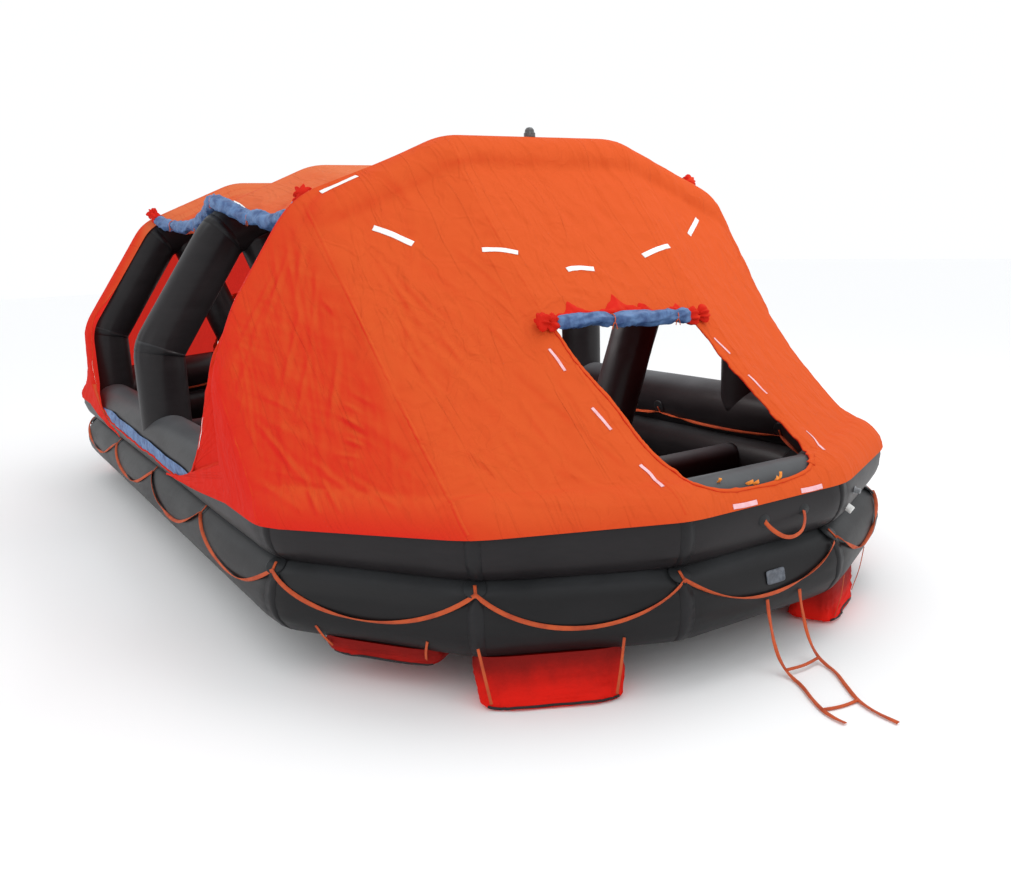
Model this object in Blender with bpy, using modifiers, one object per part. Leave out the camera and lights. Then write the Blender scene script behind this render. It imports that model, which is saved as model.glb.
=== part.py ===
# Inflatable life raft for one hundred persons, built as an assembly of separate pieces.
# Metres, +Z up, +X along the raft towards its near end, +Y across it. The floor that it stands on is z = 0.
import math

import bmesh
import bpy
from mathutils import Matrix, Vector

# Driving dimensions
TUBE_R = 0.235                 # both buoyancy tubes
ARCH_R = 0.225                 # the three arch tubes
STAND = 0.30                   # underside of the lower tube above the floor, held by the gas cylinders
OUTER_CORNERS = ((3.39, 2.64), (4.58, 1.81), (5.14, 0.68))   # x, y of one quarter of the tubes' outer side
ARCH_SPACING = 2.60            # between the middle planes of the arches
ARCH_OUTER = ((2.62, 1.88), (1.86, 3.005), (0.786, 3.442))   # y, z of knee, shoulder and crown, outer side
CORNER_CUT = 0.07              # how far a corner of a tube is softened along each side
GAP = 0.0003                   # between pieces that touch
WELD = 0.00005                 # corners of one mesh closer than this are one corner
SIDES = 16                     # round a tube
FABRIC = 0.008                 # canopy cloth with its hems
CLEAR = 0.018                  # canopy to tube where the cloth leaves the tube
FLOOR_THICK = 0.08             # the padded middle of the floor
FLOOR_EDGE = 0.06              # the floor beside the tube
PAD_INSET = 0.50               # the pad's edge from the tubes' outer side
CYLINDER_R = 0.138
CYLINDER_X = 2.20
BAND = 0.004                   # strap round a gas cylinder
BAND_WIDTH = 0.06
BAND_Y = 0.42
THWART_R = 0.16
STRUT_R = 0.195                # the slanting tubes between the thwarts and the arches
STRUT_FOOT = (0.567, 0.60)     # y and z of the lower end of a strut's centre line
STRUT_LEAN = 0.37              # outward for each metre up
STRUT_HEIGHT = 2.90            # z of the upper end, inside the arch before it is cut to the arch's shape
ENTRANCE_TOP = 0.52            # share of the way from arch to tube at which the entrance begins
ENTRANCE_SILL = 0.93           # and at which it ends, on the upper tube
ROLL_R = 0.06
SIDE_ROLL_R = 0.065
POCKET_TOP = (0.80, 0.34)      # length along the tube and width
POCKET_BOTTOM = (0.62, 0.18)
WEB_R = 0.012                  # lifelines and handles, drawn as a round line

LOWER_Z = STAND + TUBE_R
UPPER_Z = LOWER_Z + 2 * TUBE_R + GAP
FACET = math.cos(math.pi / SIDES)
SKIN = GAP / FACET             # outward from a tube's corner line so that its flats stay GAP away
SEAT = 2.2 * SKIN              # the same, for cloth that lies on a tube
LEG_EDGE = 0.012               # cloth on an arch leg ends this far above the upper tube

COLOURS = {
    "orange": ((0.76, 0.12, 0.025), 0.62, 0.0),
    "charcoal": ((0.028, 0.031, 0.035), 0.55, 0.0),
    "black": ((0.02, 0.02, 0.022), 0.6, 0.0),
    "blue": ((0.09, 0.22, 0.50), 0.7, 0.0),
    "red": ((0.70, 0.012, 0.012), 0.6, 0.0),
    "webbing": ((0.70, 0.14, 0.04), 0.75, 0.0),
    "steel": ((0.55, 0.56, 0.57), 0.4, 0.9),
    "white": ((0.8, 0.8, 0.78), 0.5, 0.0),
    "grey": ((0.22, 0.24, 0.26), 0.5, 0.0),
}


# Scene and materials

def clear_scene():
    for thing in list(bpy.data.objects):
        bpy.data.objects.remove(thing, do_unlink=True)


def new_collection(name):
    group = bpy.data.collections.new(name)
    bpy.context.scene.collection.children.link(group)
    return group


clear_scene()
RAFT = new_collection("life_raft")
CUTTERS = new_collection("cutters")


def paint(thing, colour):
    rgb, roughness, metallic = COLOURS[colour]
    material = bpy.data.materials.new(thing.name)
    material.use_nodes = True
    shader = material.node_tree.nodes["Principled BSDF"]
    shader.inputs["Base Color"].default_value = (*rgb, 1.0)
    shader.inputs["Roughness"].default_value = roughness
    shader.inputs["Metallic"].default_value = metallic
    thing.data.materials.clear()
    thing.data.materials.append(material)


def mesh_object(name, mesh, colour=None):
    thing = bpy.data.objects.new(name, mesh)
    (RAFT if colour else CUTTERS).objects.link(thing)
    if colour:
        paint(thing, colour)
    else:
        thing.hide_render = True
        thing.display_type = 'WIRE'
    return thing


def baked(thing, name, colour=None):
    """A mesh object of what the given object shows, with its caps welded; the given object is removed."""
    depsgraph = bpy.context.evaluated_depsgraph_get()
    mesh = bpy.data.meshes.new_from_object(thing.evaluated_get(depsgraph))
    mesh.transform(thing.matrix_world)
    body = bmesh.new()
    body.from_mesh(mesh)
    bmesh.ops.remove_doubles(body, verts=body.verts, dist=WELD)
    body.to_mesh(mesh)
    body.free()
    mesh.name = name
    bpy.data.objects.remove(thing, do_unlink=True)
    return mesh_object(name, mesh, colour)


# Outlines

def inset(points, distance, closed):
    """The outline moved to its left by the distance, corners kept sharp."""
    count = len(points)
    moved = []
    for i, point in enumerate(points):
        before = points[i - 1] if closed or i > 0 else None
        after = points[(i + 1) % count] if closed or i < count - 1 else None
        into = (point - before).normalized() if before is not None else (after - point).normalized()
        out = (after - point).normalized() if after is not None else into
        side = (Vector((-into.y, into.x)) + Vector((-out.y, out.x))).normalized()
        stretch = distance / side.dot(Vector((-into.y, into.x)))
        moved.append(point + side * stretch)
    return moved


def softened(points, closed):
    """Each corner as three points, so that a tube bends over a short length."""
    count = len(points)
    path = []
    for i, point in enumerate(points):
        if not closed and i in (0, count - 1):
            path.append(point.copy())
            continue
        start = point + (points[i - 1] - point).normalized() * CORNER_CUT
        end = point + (points[(i + 1) % count] - point).normalized() * CORNER_CUT
        path += [start, (start + 2 * point + end) / 4, end]
    return path


def left_normals(path, closed):
    """At each point, the unit normal on the left of the path, halfway between its two sides."""
    count = len(path)
    normals = []
    for i, point in enumerate(path):
        before = path[i - 1] if closed or i > 0 else None
        after = path[(i + 1) % count] if closed or i < count - 1 else None
        ways = [(b - a).normalized() for a, b in ((before, point), (point, after))
                if a is not None and b is not None]
        way = sum(ways, Vector((0, 0))).normalized()
        normals.append(Vector((-way.y, way.x)))
    return normals


def hull_corners():
    """The twelve outer corners of the tubes, anticlockwise from the near end's left corner."""
    quarter = [Vector(c) for c in OUTER_CORNERS]
    right_near = [Vector((c.x, c.y)) for c in reversed(quarter)]
    right_far = [Vector((-c.x, c.y)) for c in quarter]
    left_far = [Vector((-c.x, -c.y)) for c in reversed(quarter)]
    left_near = [Vector((c.x, -c.y)) for c in quarter]
    return right_near + right_far + left_far + left_near


HULL = hull_corners()
RING = softened(inset(HULL, TUBE_R, True), True)

HALF_ARCH = [Vector((y, z)) for y, z in ARCH_OUTER]
ARCH_LINE = ([Vector((HALF_ARCH[0].x, UPPER_Z))] + HALF_ARCH
             + [Vector((-p.x, p.y)) for p in reversed(HALF_ARCH)] + [Vector((-HALF_ARCH[0].x, UPPER_Z))])
ARCH_CENTRE = inset(ARCH_LINE, ARCH_R, False)


# Tubes

def tube(name, points, radius, sides, closed=False, colour=None, twist='Z_UP', turn=0.0):
    """A round line through 3-D points, made a mesh; its corner lines are turned about it by the angle."""
    curve = bpy.data.curves.new(name, 'CURVE')
    curve.dimensions = '3D'
    curve.bevel_depth = radius
    curve.bevel_resolution = sides // 2 - 2
    curve.use_fill_caps = True
    curve.twist_mode = twist
    spline = curve.splines.new('POLY')
    spline.points.add(len(points) - 1)
    for slot, point in zip(spline.points, points):
        slot.co = (*point, 1.0)
        slot.tilt = turn
    spline.use_cyclic_u = closed
    line = bpy.data.objects.new(name, curve)
    CUTTERS.objects.link(line)
    bpy.context.view_layer.update()
    return baked(line, name, colour)


def ring(name, height, radius, colour=None):
    return tube(name, [Vector((p.x, p.y, height)) for p in RING], radius, SIDES, True, colour)


def cut(thing, cutter, operation='DIFFERENCE'):
    """Takes the cutter away from the thing, or joins it on, exactly."""
    modifier = thing.modifiers.new("cut_" + cutter.name, 'BOOLEAN')
    modifier.operation = operation
    modifier.solver = 'EXACT'
    modifier.object = cutter


def arch_tube(name, middle, radius, colour=None):
    """A tube along an arch's centre line, drawn flat and then stood up."""
    flat = [Vector((p.x, p.y, 0)) for p in softened(ARCH_CENTRE, False)]
    thing = tube(name, flat, radius, SIDES, False, colour)
    stood_up = Matrix(((0, 0, 1, middle), (1, 0, 0, 0), (0, 1, 0, 0), (0, 0, 0, 1)))
    thing.data.transform(stood_up)
    return thing


def arch(name, middle):
    """An arch tube across the raft, its feet saddled on the upper tube."""
    thing = arch_tube(name, middle, ARCH_R, "charcoal")
    cut(thing, UPPER_CUTTER)
    return thing


ring("lower_tube", LOWER_Z, TUBE_R, "charcoal")
ring("upper_tube", UPPER_Z, TUBE_R, "charcoal")
UPPER_CUTTER = ring("upper_cutter", UPPER_Z, TUBE_R + SEAT)
LOWER_CUTTER = ring("lower_cutter", LOWER_Z, TUBE_R + SEAT)
for arch_name, arch_x in (("arch_far", -ARCH_SPACING), ("arch_mid", 0.0), ("arch_near", ARCH_SPACING)):
    arch(arch_name, arch_x)


# Floor and thwarts

FLOOR_UNDER = 2 * (CYLINDER_R + BAND + GAP) + GAP
FLOOR_TOP = FLOOR_UNDER + FLOOR_THICK


def flat_plate(name, outline, low, high, colour=None):
    """A flat plate with the outline, from one height to the other."""
    curve = bpy.data.curves.new(name, 'CURVE')
    curve.dimensions = '2D'
    curve.fill_mode = 'BOTH'
    curve.extrude = (high - low) / 2
    spline = curve.splines.new('POLY')
    spline.points.add(len(outline) - 1)
    for slot, point in zip(spline.points, outline):
        slot.co = (point.x, point.y, 0, 1)
    spline.use_cyclic_u = True
    sheet = bpy.data.objects.new(name, curve)
    sheet.location.z = (low + high) / 2
    CUTTERS.objects.link(sheet)
    bpy.context.view_layer.update()
    return baked(sheet, name, colour)


def floor():
    """The inflated floor: a padded middle, and an edge hollowed where it lies on the lower tube."""
    thing = flat_plate("floor", inset(HULL, TUBE_R, True), FLOOR_UNDER, FLOOR_UNDER + FLOOR_EDGE, "black")
    pad = flat_plate("floor_pad", inset(HULL, PAD_INSET, True), FLOOR_UNDER + FLOOR_EDGE / 2, FLOOR_TOP)
    cut(thing, pad, 'UNION')
    cut(thing, LOWER_CUTTER)
    return thing


floor()

THWART_SIDES = 12
THWART_Z = FLOOR_TOP + THWART_R / math.cos(math.pi / THWART_SIDES) + GAP


def thwart_tube(name, middle, radius, colour=None):
    reach = HULL[2].y - TUBE_R
    line = [Vector((middle, side * reach, THWART_Z)) for side in (1, -1)]
    return tube(name, line, radius, THWART_SIDES, False, colour)


def thwart(name, middle):
    """A cross tube on the floor, its ends shaped to the lower tube."""
    thing = thwart_tube(name, middle, THWART_R, "black")
    cut(thing, LOWER_CUTTER)
    cut(thing, UPPER_CUTTER)
    return thing


def strut(name, middle, side, arch_cutter, thwart_cutter):
    """A slanting tube that stands on a thwart and holds up the arch above it near the shoulder."""
    foot_y, foot_z = STRUT_FOOT
    top_y = foot_y + (STRUT_HEIGHT - foot_z) * STRUT_LEAN
    line = [Vector((middle, side * foot_y, foot_z)), Vector((middle, side * top_y, STRUT_HEIGHT))]
    thing = tube(name, line, STRUT_R, SIDES, False, "charcoal", turn=math.pi / SIDES)
    cut(thing, arch_cutter)
    cut(thing, thwart_cutter)
    return thing


for place, middle_x in (("far", -ARCH_SPACING), ("mid", 0.0), ("near", ARCH_SPACING)):
    thwart("thwart_" + place, middle_x)
    over = arch_tube("arch_cutter_" + place, middle_x, ARCH_R + SEAT)
    under = thwart_tube("thwart_cutter_" + place, middle_x, THWART_R + SEAT)
    strut("strut_" + place + "_left", middle_x, -1, over, under)
    strut("strut_" + place + "_right", middle_x, 1, over, under)


# Canopy

def out_of_tubes(point, arches):
    """Moves a point of the cloth out of the arches and out of the upper tube."""
    obstacles = [(ARCH_SEGMENTS[arch_x], ARCH_R) for arch_x in arches] + [(RING_SEGMENTS, TUBE_R)]
    for lines, radius in obstacles:
        nearest = None
        for start, end in lines:
            along = end - start
            share = max(0.0, min(1.0, (point - start).dot(along) / along.length_squared))
            foot = start + along * share
            if nearest is None or (point - foot).length < (point - nearest).length:
                nearest = foot
        away = point - nearest
        if away.length < radius + CLEAR:
            point = nearest + away.normalized() * (radius + CLEAR)
    return point


def at_shares(line, shares):
    """Points at the given shares of a line's length."""
    lengths = [0.0]
    for a, b in zip(line, line[1:]):
        lengths.append(lengths[-1] + (b - a).length)
    result = []
    for share in shares:
        reach = share * lengths[-1]
        i = 0
        while i < len(line) - 2 and lengths[i + 1] < reach:
            i += 1
        step = (lengths[i + 1] - lengths[i]) or 1.0
        result.append(line[i].lerp(line[i + 1], min(1.0, (reach - lengths[i]) / step)))
    return result


def draped(line, arches, shares):
    """A line of cloth drawn over the tubes in its way, at the given shares of its length."""
    even = [i / DRAPE_STEPS for i in range(DRAPE_STEPS + 1)]
    for _ in range(DRAPE_PASSES):
        line = [line[0]] + [out_of_tubes(p, arches) for p in line[1:-1]] + [line[-1]]
        line = at_shares(line, even)
    points = at_shares(line, shares)
    return [p if share in (0.0, 1.0) else out_of_tubes(p, arches) for p, share in zip(points, shares)]


def pairs(path, closed):
    last = len(path) if closed else len(path) - 1
    return [(path[i], path[(i + 1) % len(path)]) for i in range(last)]


ARCH_PATH = softened(ARCH_CENTRE, False)
ARCH_NORMALS = left_normals(ARCH_PATH, False)
RING_NORMALS = left_normals(RING, True)
RING_SEGMENTS = pairs([Vector((p.x, p.y, UPPER_Z)) for p in RING], True)
ARCH_SEGMENTS = {x: pairs([Vector((x, p.x, p.y)) for p in ARCH_PATH], False)
                 for x in (-ARCH_SPACING, 0.0, ARCH_SPACING)}


def on_arch(i, angle, arch_x):
    """A point on the outer side of an arch at its path's point i, turned by the angle towards +X."""
    out = -ARCH_NORMALS[i]
    reach = ARCH_R + SEAT
    flat = ARCH_PATH[i] + out * (reach * math.cos(angle))
    return Vector((arch_x + reach * math.sin(angle), flat.x, flat.y))


def on_leg(angle, arch_x, side):
    """A point on the outer side of an arch leg, just above the upper tube."""
    reach = ARCH_R + SEAT
    across = HALF_ARCH[0].x - ARCH_R + reach * math.cos(angle)
    height = UPPER_Z + math.sqrt(TUBE_R ** 2 - (across - HULL[2].y + TUBE_R) ** 2) + LEG_EDGE
    return Vector((arch_x + reach * math.sin(angle), side * across, height))


def on_hull(i):
    """A point on the outer corner line of the upper tube at its ring's point i."""
    flat = RING[i] - RING_NORMALS[i] * (TUBE_R + SEAT)
    return Vector((flat.x, flat.y, UPPER_Z))


def spread(points, counts):
    """The points with each stretch divided into its count of equal steps, or at the shares in its place."""
    result = [points[0]]
    for start, end, count in zip(points, points[1:], counts):
        shares = count if isinstance(count, tuple) else [step / count for step in range(1, count + 1)]
        result += [start.lerp(end, share) for share in shares]
    return result


# Steps of cloth between neighbouring stations, from the right foot to the left foot: each corner is three
# stations with one step between them, and the side, knee, shoulder and crown stretches have more.
CORNER_STEPS = [1, 1]
HALF_STEPS = [1] + CORNER_STEPS + [4] + CORNER_STEPS + [3] + CORNER_STEPS
END_SHARES = (0.03, 0.27, 0.50, 0.73, 0.90, 1.0)    # across the end side, the entrance's two edges among them
HUMP_STEPS = HALF_STEPS + [END_SHARES] + HALF_STEPS[::-1]
HALF_COLUMNS = sum(HALF_STEPS)
CREASE_COLUMN = HALF_COLUMNS - 1           # the middle of the crown's corner
HUMP_SHARES = (0.03, 0.06, 0.10, 0.15, 0.24, 0.38, ENTRANCE_TOP, 0.65, 0.78, 0.86, 0.90, ENTRANCE_SILL,
               0.965, 1.0)
WRAP_ANGLES = [math.radians(a) for a in (-45, -22.5, 0)]
TOP_ROW = len(WRAP_ANGLES) + HUMP_SHARES.index(ENTRANCE_TOP)
SILL_ROW = len(WRAP_ANGLES) + HUMP_SHARES.index(ENTRANCE_SILL)
RIGHT_EDGE = 2                             # the entrance's edges, as columns of the panel between the creases
LEFT_EDGE = 6
LEFT_EDGE_SHARES = (0.92, 0.44)            # between the next columns, at the entrance's top and at its sill
HEM_START = ARCH_SPACING + 0.10            # the hem's first point on the long side
HUMP_SAG = 0.055                           # inward, as a share of a column's length
SAG_WAY = (-0.55, -0.35, -0.35)            # along the raft, to its middle and down
SAG_FULLNESS = (0.75, 0.5)                 # at the arch, and what is added towards the hem
DRAPE_STEPS = 60
DRAPE_PASSES = 3


def hump_columns():
    """The near hump's cloth as columns of points, from the right foot over the crown to the left foot."""
    hem = [Vector((HEM_START, HULL[2].y + SEAT, UPPER_Z))]
    hem += [on_hull(i) for i in (8, 7, 6, 5, 4, 3, 2, 1, 0)]
    hem += [Vector((p.x, -p.y, p.z)) for p in reversed(hem)]
    wraps = []
    for angle in WRAP_ANGLES:
        line = [on_leg(angle, ARCH_SPACING, 1)]
        line += [on_arch(i, angle, ARCH_SPACING) for i in range(1, len(ARCH_PATH) - 1)]
        line += [on_leg(angle, ARCH_SPACING, -1)]
        wraps.append(spread(line, HUMP_STEPS))
    ends = spread(hem, HUMP_STEPS)
    columns = []
    for j, end in enumerate(ends):
        start = wraps[-1][j]
        length = (end - start).length
        side = (start.y + end.y) / (2 * HALF_ARCH[0].x)
        lean = Vector((SAG_WAY[0], SAG_WAY[1] * side, SAG_WAY[2]))
        line = []
        for step in range(DRAPE_STEPS + 1):
            share = step / DRAPE_STEPS
            bow = math.sin(math.pi * share) * (SAG_FULLNESS[0] + SAG_FULLNESS[1] * share)
            line.append(start.lerp(end, share) + lean * (bow * HUMP_SAG * length))
        columns.append([row[j] for row in wraps] + draped(line, (ARCH_SPACING,), HUMP_SHARES))
    return columns


def cloth(name, columns, colour="orange", hole=None):
    """A closed solid from columns of points: an open sheet with Solidify on its outer side.

    The hole is the entrance: its first and last column and row.
    """
    rows = len(columns[0])
    points = [p for column in columns for p in column]
    faces = []
    for j in range(len(columns) - 1):
        for i in range(rows - 1):
            if hole and hole[0] <= j < hole[1] and hole[2] <= i < hole[3]:
                continue
            a = j * rows + i
            faces.append((a, a + rows, a + rows + 1, a + 1))
    mesh = bpy.data.meshes.new(name)
    mesh.from_pydata([tuple(p) for p in points], [], faces)
    body = bmesh.new()
    body.from_mesh(mesh)
    bmesh.ops.delete(body, geom=[v for v in body.verts if not v.link_faces], context='VERTS')
    body.to_mesh(mesh)
    body.free()
    thing = mesh_object(name, mesh, colour)
    solid = thing.modifiers.new("thickness", 'SOLIDIFY')
    solid.thickness = FABRIC
    solid.offset = 1.0
    solid.use_even_offset = False
    return thing


def parted(columns, first, last):
    """Columns from first to last, drawn back by half a gap at a crease shared with the next panel."""
    chosen = [list(c) for c in columns[first:last + 1]]
    if first > 0:
        chosen[0] = [a + (b - a).normalized() * GAP for a, b in zip(chosen[0], chosen[1])]
    if last < len(columns) - 1:
        chosen[-1] = [a + (b - a).normalized() * GAP for a, b in zip(chosen[-1], chosen[-2])]
    return chosen


def turned(columns):
    """The same cloth at the far end: half a turn about the vertical axis."""
    return [[Vector((-p.x, -p.y, p.z)) for p in column] for column in columns]


def slanted_edge(panel):
    """The entrance's left edge, drawn inwards towards the sill."""
    high, low = LEFT_EDGE_SHARES
    for row in range(TOP_ROW, SILL_ROW + 1):
        share = high + (low - high) * (row - TOP_ROW) / (SILL_ROW - TOP_ROW)
        panel[LEFT_EDGE][row] = panel[LEFT_EDGE - 1][row].lerp(panel[LEFT_EDGE + 1][row], share)


def canopy_ends():
    """The two humps, each of a left and a right panel and one between them with the entrance in it."""
    columns = hump_columns()
    crease = CREASE_COLUMN
    last = len(columns) - 1
    centre = parted(columns, crease, last - crease)
    slanted_edge(centre)
    entrance = (RIGHT_EDGE, LEFT_EDGE, TOP_ROW, SILL_ROW)
    right = parted(columns, 0, crease)
    left = parted(columns, last - crease, last)
    for name, panel, hole in (("right", right, None), ("centre", centre, entrance), ("left", left, None)):
        cloth("canopy_near_" + name, panel, hole=hole)
    for name, panel, hole in (("left", right, None), ("centre", centre, entrance), ("right", left, None)):
        cloth("canopy_far_" + name, turned(panel), hole=hole)
    return centre


ENTRANCE_PANEL = canopy_ends()

ROOF_STEPS = [1, 3] + CORNER_STEPS + [4] + CORNER_STEPS + [3, 1]
ROOF_SAG = 0.13
ROOF_SHARES = (0.05, 0.11, 0.25, 0.42, 0.58, 0.75, 0.89, 0.95)
SHOULDER_FIRST = 5                          # path point in the middle of the right shoulder
SHOULDER_LAST = len(ARCH_PATH) - 1 - SHOULDER_FIRST


def roof_columns():
    """The roof's cloth between the middle arch and the near hump, as columns along the raft."""
    chosen = range(SHOULDER_FIRST, SHOULDER_LAST + 1)

    def row_line(angle, arch_x):
        return spread([on_arch(i, angle, arch_x) for i in chosen], ROOF_STEPS)

    far = [row_line(math.radians(a), 0.0) for a in (0, 22.5)]
    near = [row_line(math.radians(a), ARCH_SPACING) for a in (-67.5, -45)]
    columns = []
    for j, start in enumerate(far[0]):
        end = near[-1][j]
        out = Vector((0, start.y, start.z - UPPER_Z)).normalized()
        line = []
        for step in range(DRAPE_STEPS + 1):
            share = step / DRAPE_STEPS
            line.append(start.lerp(end, share) - out * (ROOF_SAG * math.sin(math.pi * share)))
        column = [row[j] for row in far] + draped(line, (0.0, ARCH_SPACING), ROOF_SHARES)
        column += [row[j] for row in near]
        column[0] = column[0] + Vector((GAP, 0, 0))
        column[-1] = column[-1] + (column[-2] - column[-1]).normalized() * GAP
        columns.append(column)
    return columns


ROOF = roof_columns()
cloth("roof_near", ROOF)
cloth("roof_far", turned(ROOF))


# Rolled curtains and side flaps

ROLL_SIDES = 10
SIDE_ROLL_WAY = (0.86, 0.50)               # out and up, from the roof's edge to the roll's middle


def outward(a, b, c):
    """Unit normal of the cloth through three points, on its outer side."""
    normal = (b - a).cross(c - a).normalized()
    return normal if normal.z > 0 else -normal


def end_roll(name, far):
    """The rolled entrance curtain, tied along the top edge of the entrance."""
    offset = ROLL_R + FABRIC
    line = []
    for j, column in enumerate(ENTRANCE_PANEL):
        neighbour = ENTRANCE_PANEL[j - 1] if j else ENTRANCE_PANEL[1]
        edge = column[TOP_ROW]
        line.append(edge + outward(edge, column[TOP_ROW - 1], neighbour[TOP_ROW]) * offset)
    if far:
        line = [Vector((-p.x, -p.y, p.z)) for p in line]
    return tube(name, line, ROLL_R, ROLL_SIDES, False, "blue", 'MINIMUM')


def side_roll(name, side):
    """The rolled side curtain, which hangs outside the roof's edge and over the middle arch's shoulder."""
    edge = ROOF[0] if side > 0 else ROOF[-1]
    edge = edge[:-2]
    offset = SIDE_ROLL_R + FABRIC - 4 * GAP
    out = Vector((0, side * SIDE_ROLL_WAY[0], SIDE_ROLL_WAY[1])).normalized()
    half = [p + out * offset for p in edge]
    half[0].x = 0.0
    line = [Vector((-p.x, p.y, p.z)) for p in reversed(half[1:])] + half
    return tube(name, line, SIDE_ROLL_R, ROLL_SIDES, False, "blue", 'MINIMUM')


end_roll("entrance_roll_near", False)
end_roll("entrance_roll_far", True)
side_roll("side_roll_right", 1)
side_roll("side_roll_left", -1)

FLAP_THICK = 0.006
FLAP_END = ARCH_SPACING - 0.28
FLAP_ANGLES = (-22.5, 0.0, 22.5)


def side_flap(name, side):
    """The let-down edge of the side curtain, laid on the outer side of the upper tube."""
    columns = []
    for x in (FLAP_END, -FLAP_END):
        column = []
        for angle in FLAP_ANGLES:
            turn = math.radians(angle)
            reach = TUBE_R + SKIN
            across = HULL[2].y - TUBE_R + reach * math.cos(turn)
            column.append(Vector((x, side * across, UPPER_Z + reach * math.sin(turn))))
        columns.append(column if side > 0 else column[::-1])
    thing = cloth(name, columns, "blue")
    thing.modifiers["thickness"].thickness = FLAP_THICK
    return thing


side_flap("side_flap_right", 1)
side_flap("side_flap_left", -1)


# Lines, handles and fittings on the tubes

LINE_SPAN = 1.7                # between the loops that a lifeline is tied to
LINE_SHARES = (0.0, 0.07, 0.17, 0.32, 0.50, 0.68, 0.83, 0.93)   # points of one hanging span
OUTER_LINE_OFF = 0.0021        # off the tube, so that a line's short straight parts clear it
INNER_LINE_OFF = -0.0008
OUTER_LINE_Z = LOWER_Z + 0.165
OUTER_LINE_SAG = 0.22
INNER_LINE_Z = UPPER_Z - 0.04
INNER_LINE_SAG = 0.06


def sagging_line(name, tube_z, height, sag, side, off):
    """A closed webbing line on the outer (1) or inner (-1) side of a tube, hanging between its loops."""
    corners = pairs(HULL, True)
    reach = TUBE_R + WEB_R + off
    line = []
    for start, end in corners:
        spans = max(1, round((end - start).length / LINE_SPAN))
        for span, share in [(n, part) for n in range(spans) for part in LINE_SHARES]:
            drop = height - sag * 4 * share * (1 - share)
            stand_out = side * math.sqrt(reach ** 2 - (drop - tube_z) ** 2)
            outline = inset(HULL, TUBE_R - stand_out, True)
            first = outline[HULL.index(start)]
            second = outline[HULL.index(end)]
            flat = first.lerp(second, (span + share) / spans)
            line.append(Vector((flat.x, flat.y, drop)))
    return tube(name, line, WEB_R, 4, True, "webbing")


sagging_line("lifeline_outer", LOWER_Z, OUTER_LINE_Z, OUTER_LINE_SAG, 1, OUTER_LINE_OFF)
sagging_line("lifeline_inner", UPPER_Z, INNER_LINE_Z, INNER_LINE_SAG, -1, INNER_LINE_OFF)

HANDLE_SPAN = 0.34
HANDLE_Y = 0.10
HANDLE_SIDES = 6
# share of the span from the handle's middle, how far it stands out, and how far it hangs down
HANDLE_SHAPE = ((-0.5, 0.0, 0.0), (-0.5, 0.028, 0.0), (-0.44, 0.055, -0.03), (-0.26, 0.075, -0.07),
                (0.0, 0.082, -0.095), (0.26, 0.075, -0.07), (0.44, 0.055, -0.03), (0.5, 0.028, 0.0),
                (0.5, 0.0, 0.0))


def handle(name, way):
    """A webbing loop under the entrance, its two ends on the upper tube."""
    tilt = math.radians(180 / SIDES)
    seat = TUBE_R * FACET + GAP
    line = [Vector((way * (OUTER_CORNERS[2][0] - TUBE_R + (seat + out) * math.cos(tilt)),
                    way * (HANDLE_Y + span * HANDLE_SPAN), UPPER_Z - (seat + out) * math.sin(tilt) + drop))
            for span, out, drop in HANDLE_SHAPE]
    return tube(name, line, WEB_R, HANDLE_SIDES, False, "webbing", 'MINIMUM')


handle("handle_near", 1)
handle("handle_far", -1)

PLATE = (0.16, 0.088, 0.004)    # along the tube, up and out
PLATE_Y = 0.04


def end_plate():
    """The blank plate bonded to the lower tube on the near end."""
    bpy.ops.mesh.primitive_cube_add(size=1, location=(0, 0, 0))
    box = bpy.context.object
    mesh = box.data
    tilt = math.radians(180 / SIDES)
    mesh.transform(Matrix.Diagonal((PLATE[2], PLATE[0], PLATE[1], 1)))
    mesh.transform(Matrix.Rotation(-tilt, 4, 'Y'))
    middle = TUBE_R * FACET + GAP + PLATE[2] / 2
    centre = OUTER_CORNERS[2][0] - TUBE_R
    mesh.transform(Matrix.Translation((centre + middle * math.cos(tilt), PLATE_Y, LOWER_Z + middle * math.sin(tilt))))
    bpy.context.view_layer.update()
    return baked(box, "end_plate", "grey")


end_plate()


def screw_solid(name, profile, steps, colour):
    """A turned solid about +Z from (radius, height) pairs, top to bottom."""
    mesh = bpy.data.meshes.new(name)
    mesh.from_pydata([(r, 0, z) for r, z in profile], [(i, i + 1) for i in range(len(profile) - 1)], [])
    line = bpy.data.objects.new(name, mesh)
    CUTTERS.objects.link(line)
    screw = line.modifiers.new("turn", 'SCREW')
    screw.steps = steps
    screw.render_steps = steps
    screw.use_merge_vertices = True
    screw.merge_threshold = 0.0001
    bpy.context.view_layer.update()
    return baked(line, name, colour)


VALVE_PROFILE = ((0.0, 0.050), (0.018, 0.050), (0.022, 0.045), (0.022, 0.010), (0.032, 0.008), (0.032, 0.0),
                 (0.0, 0.0))
VALVE_SIDES = 12
# name, share of the way along the side, which flat of the tube below its middle, size and colour
VALVES = (("inflation_valve", 0.20, 0.5, 0.9, "grey"), ("relief_valve", 0.12, 1.5, 1.25, "white"))


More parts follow.
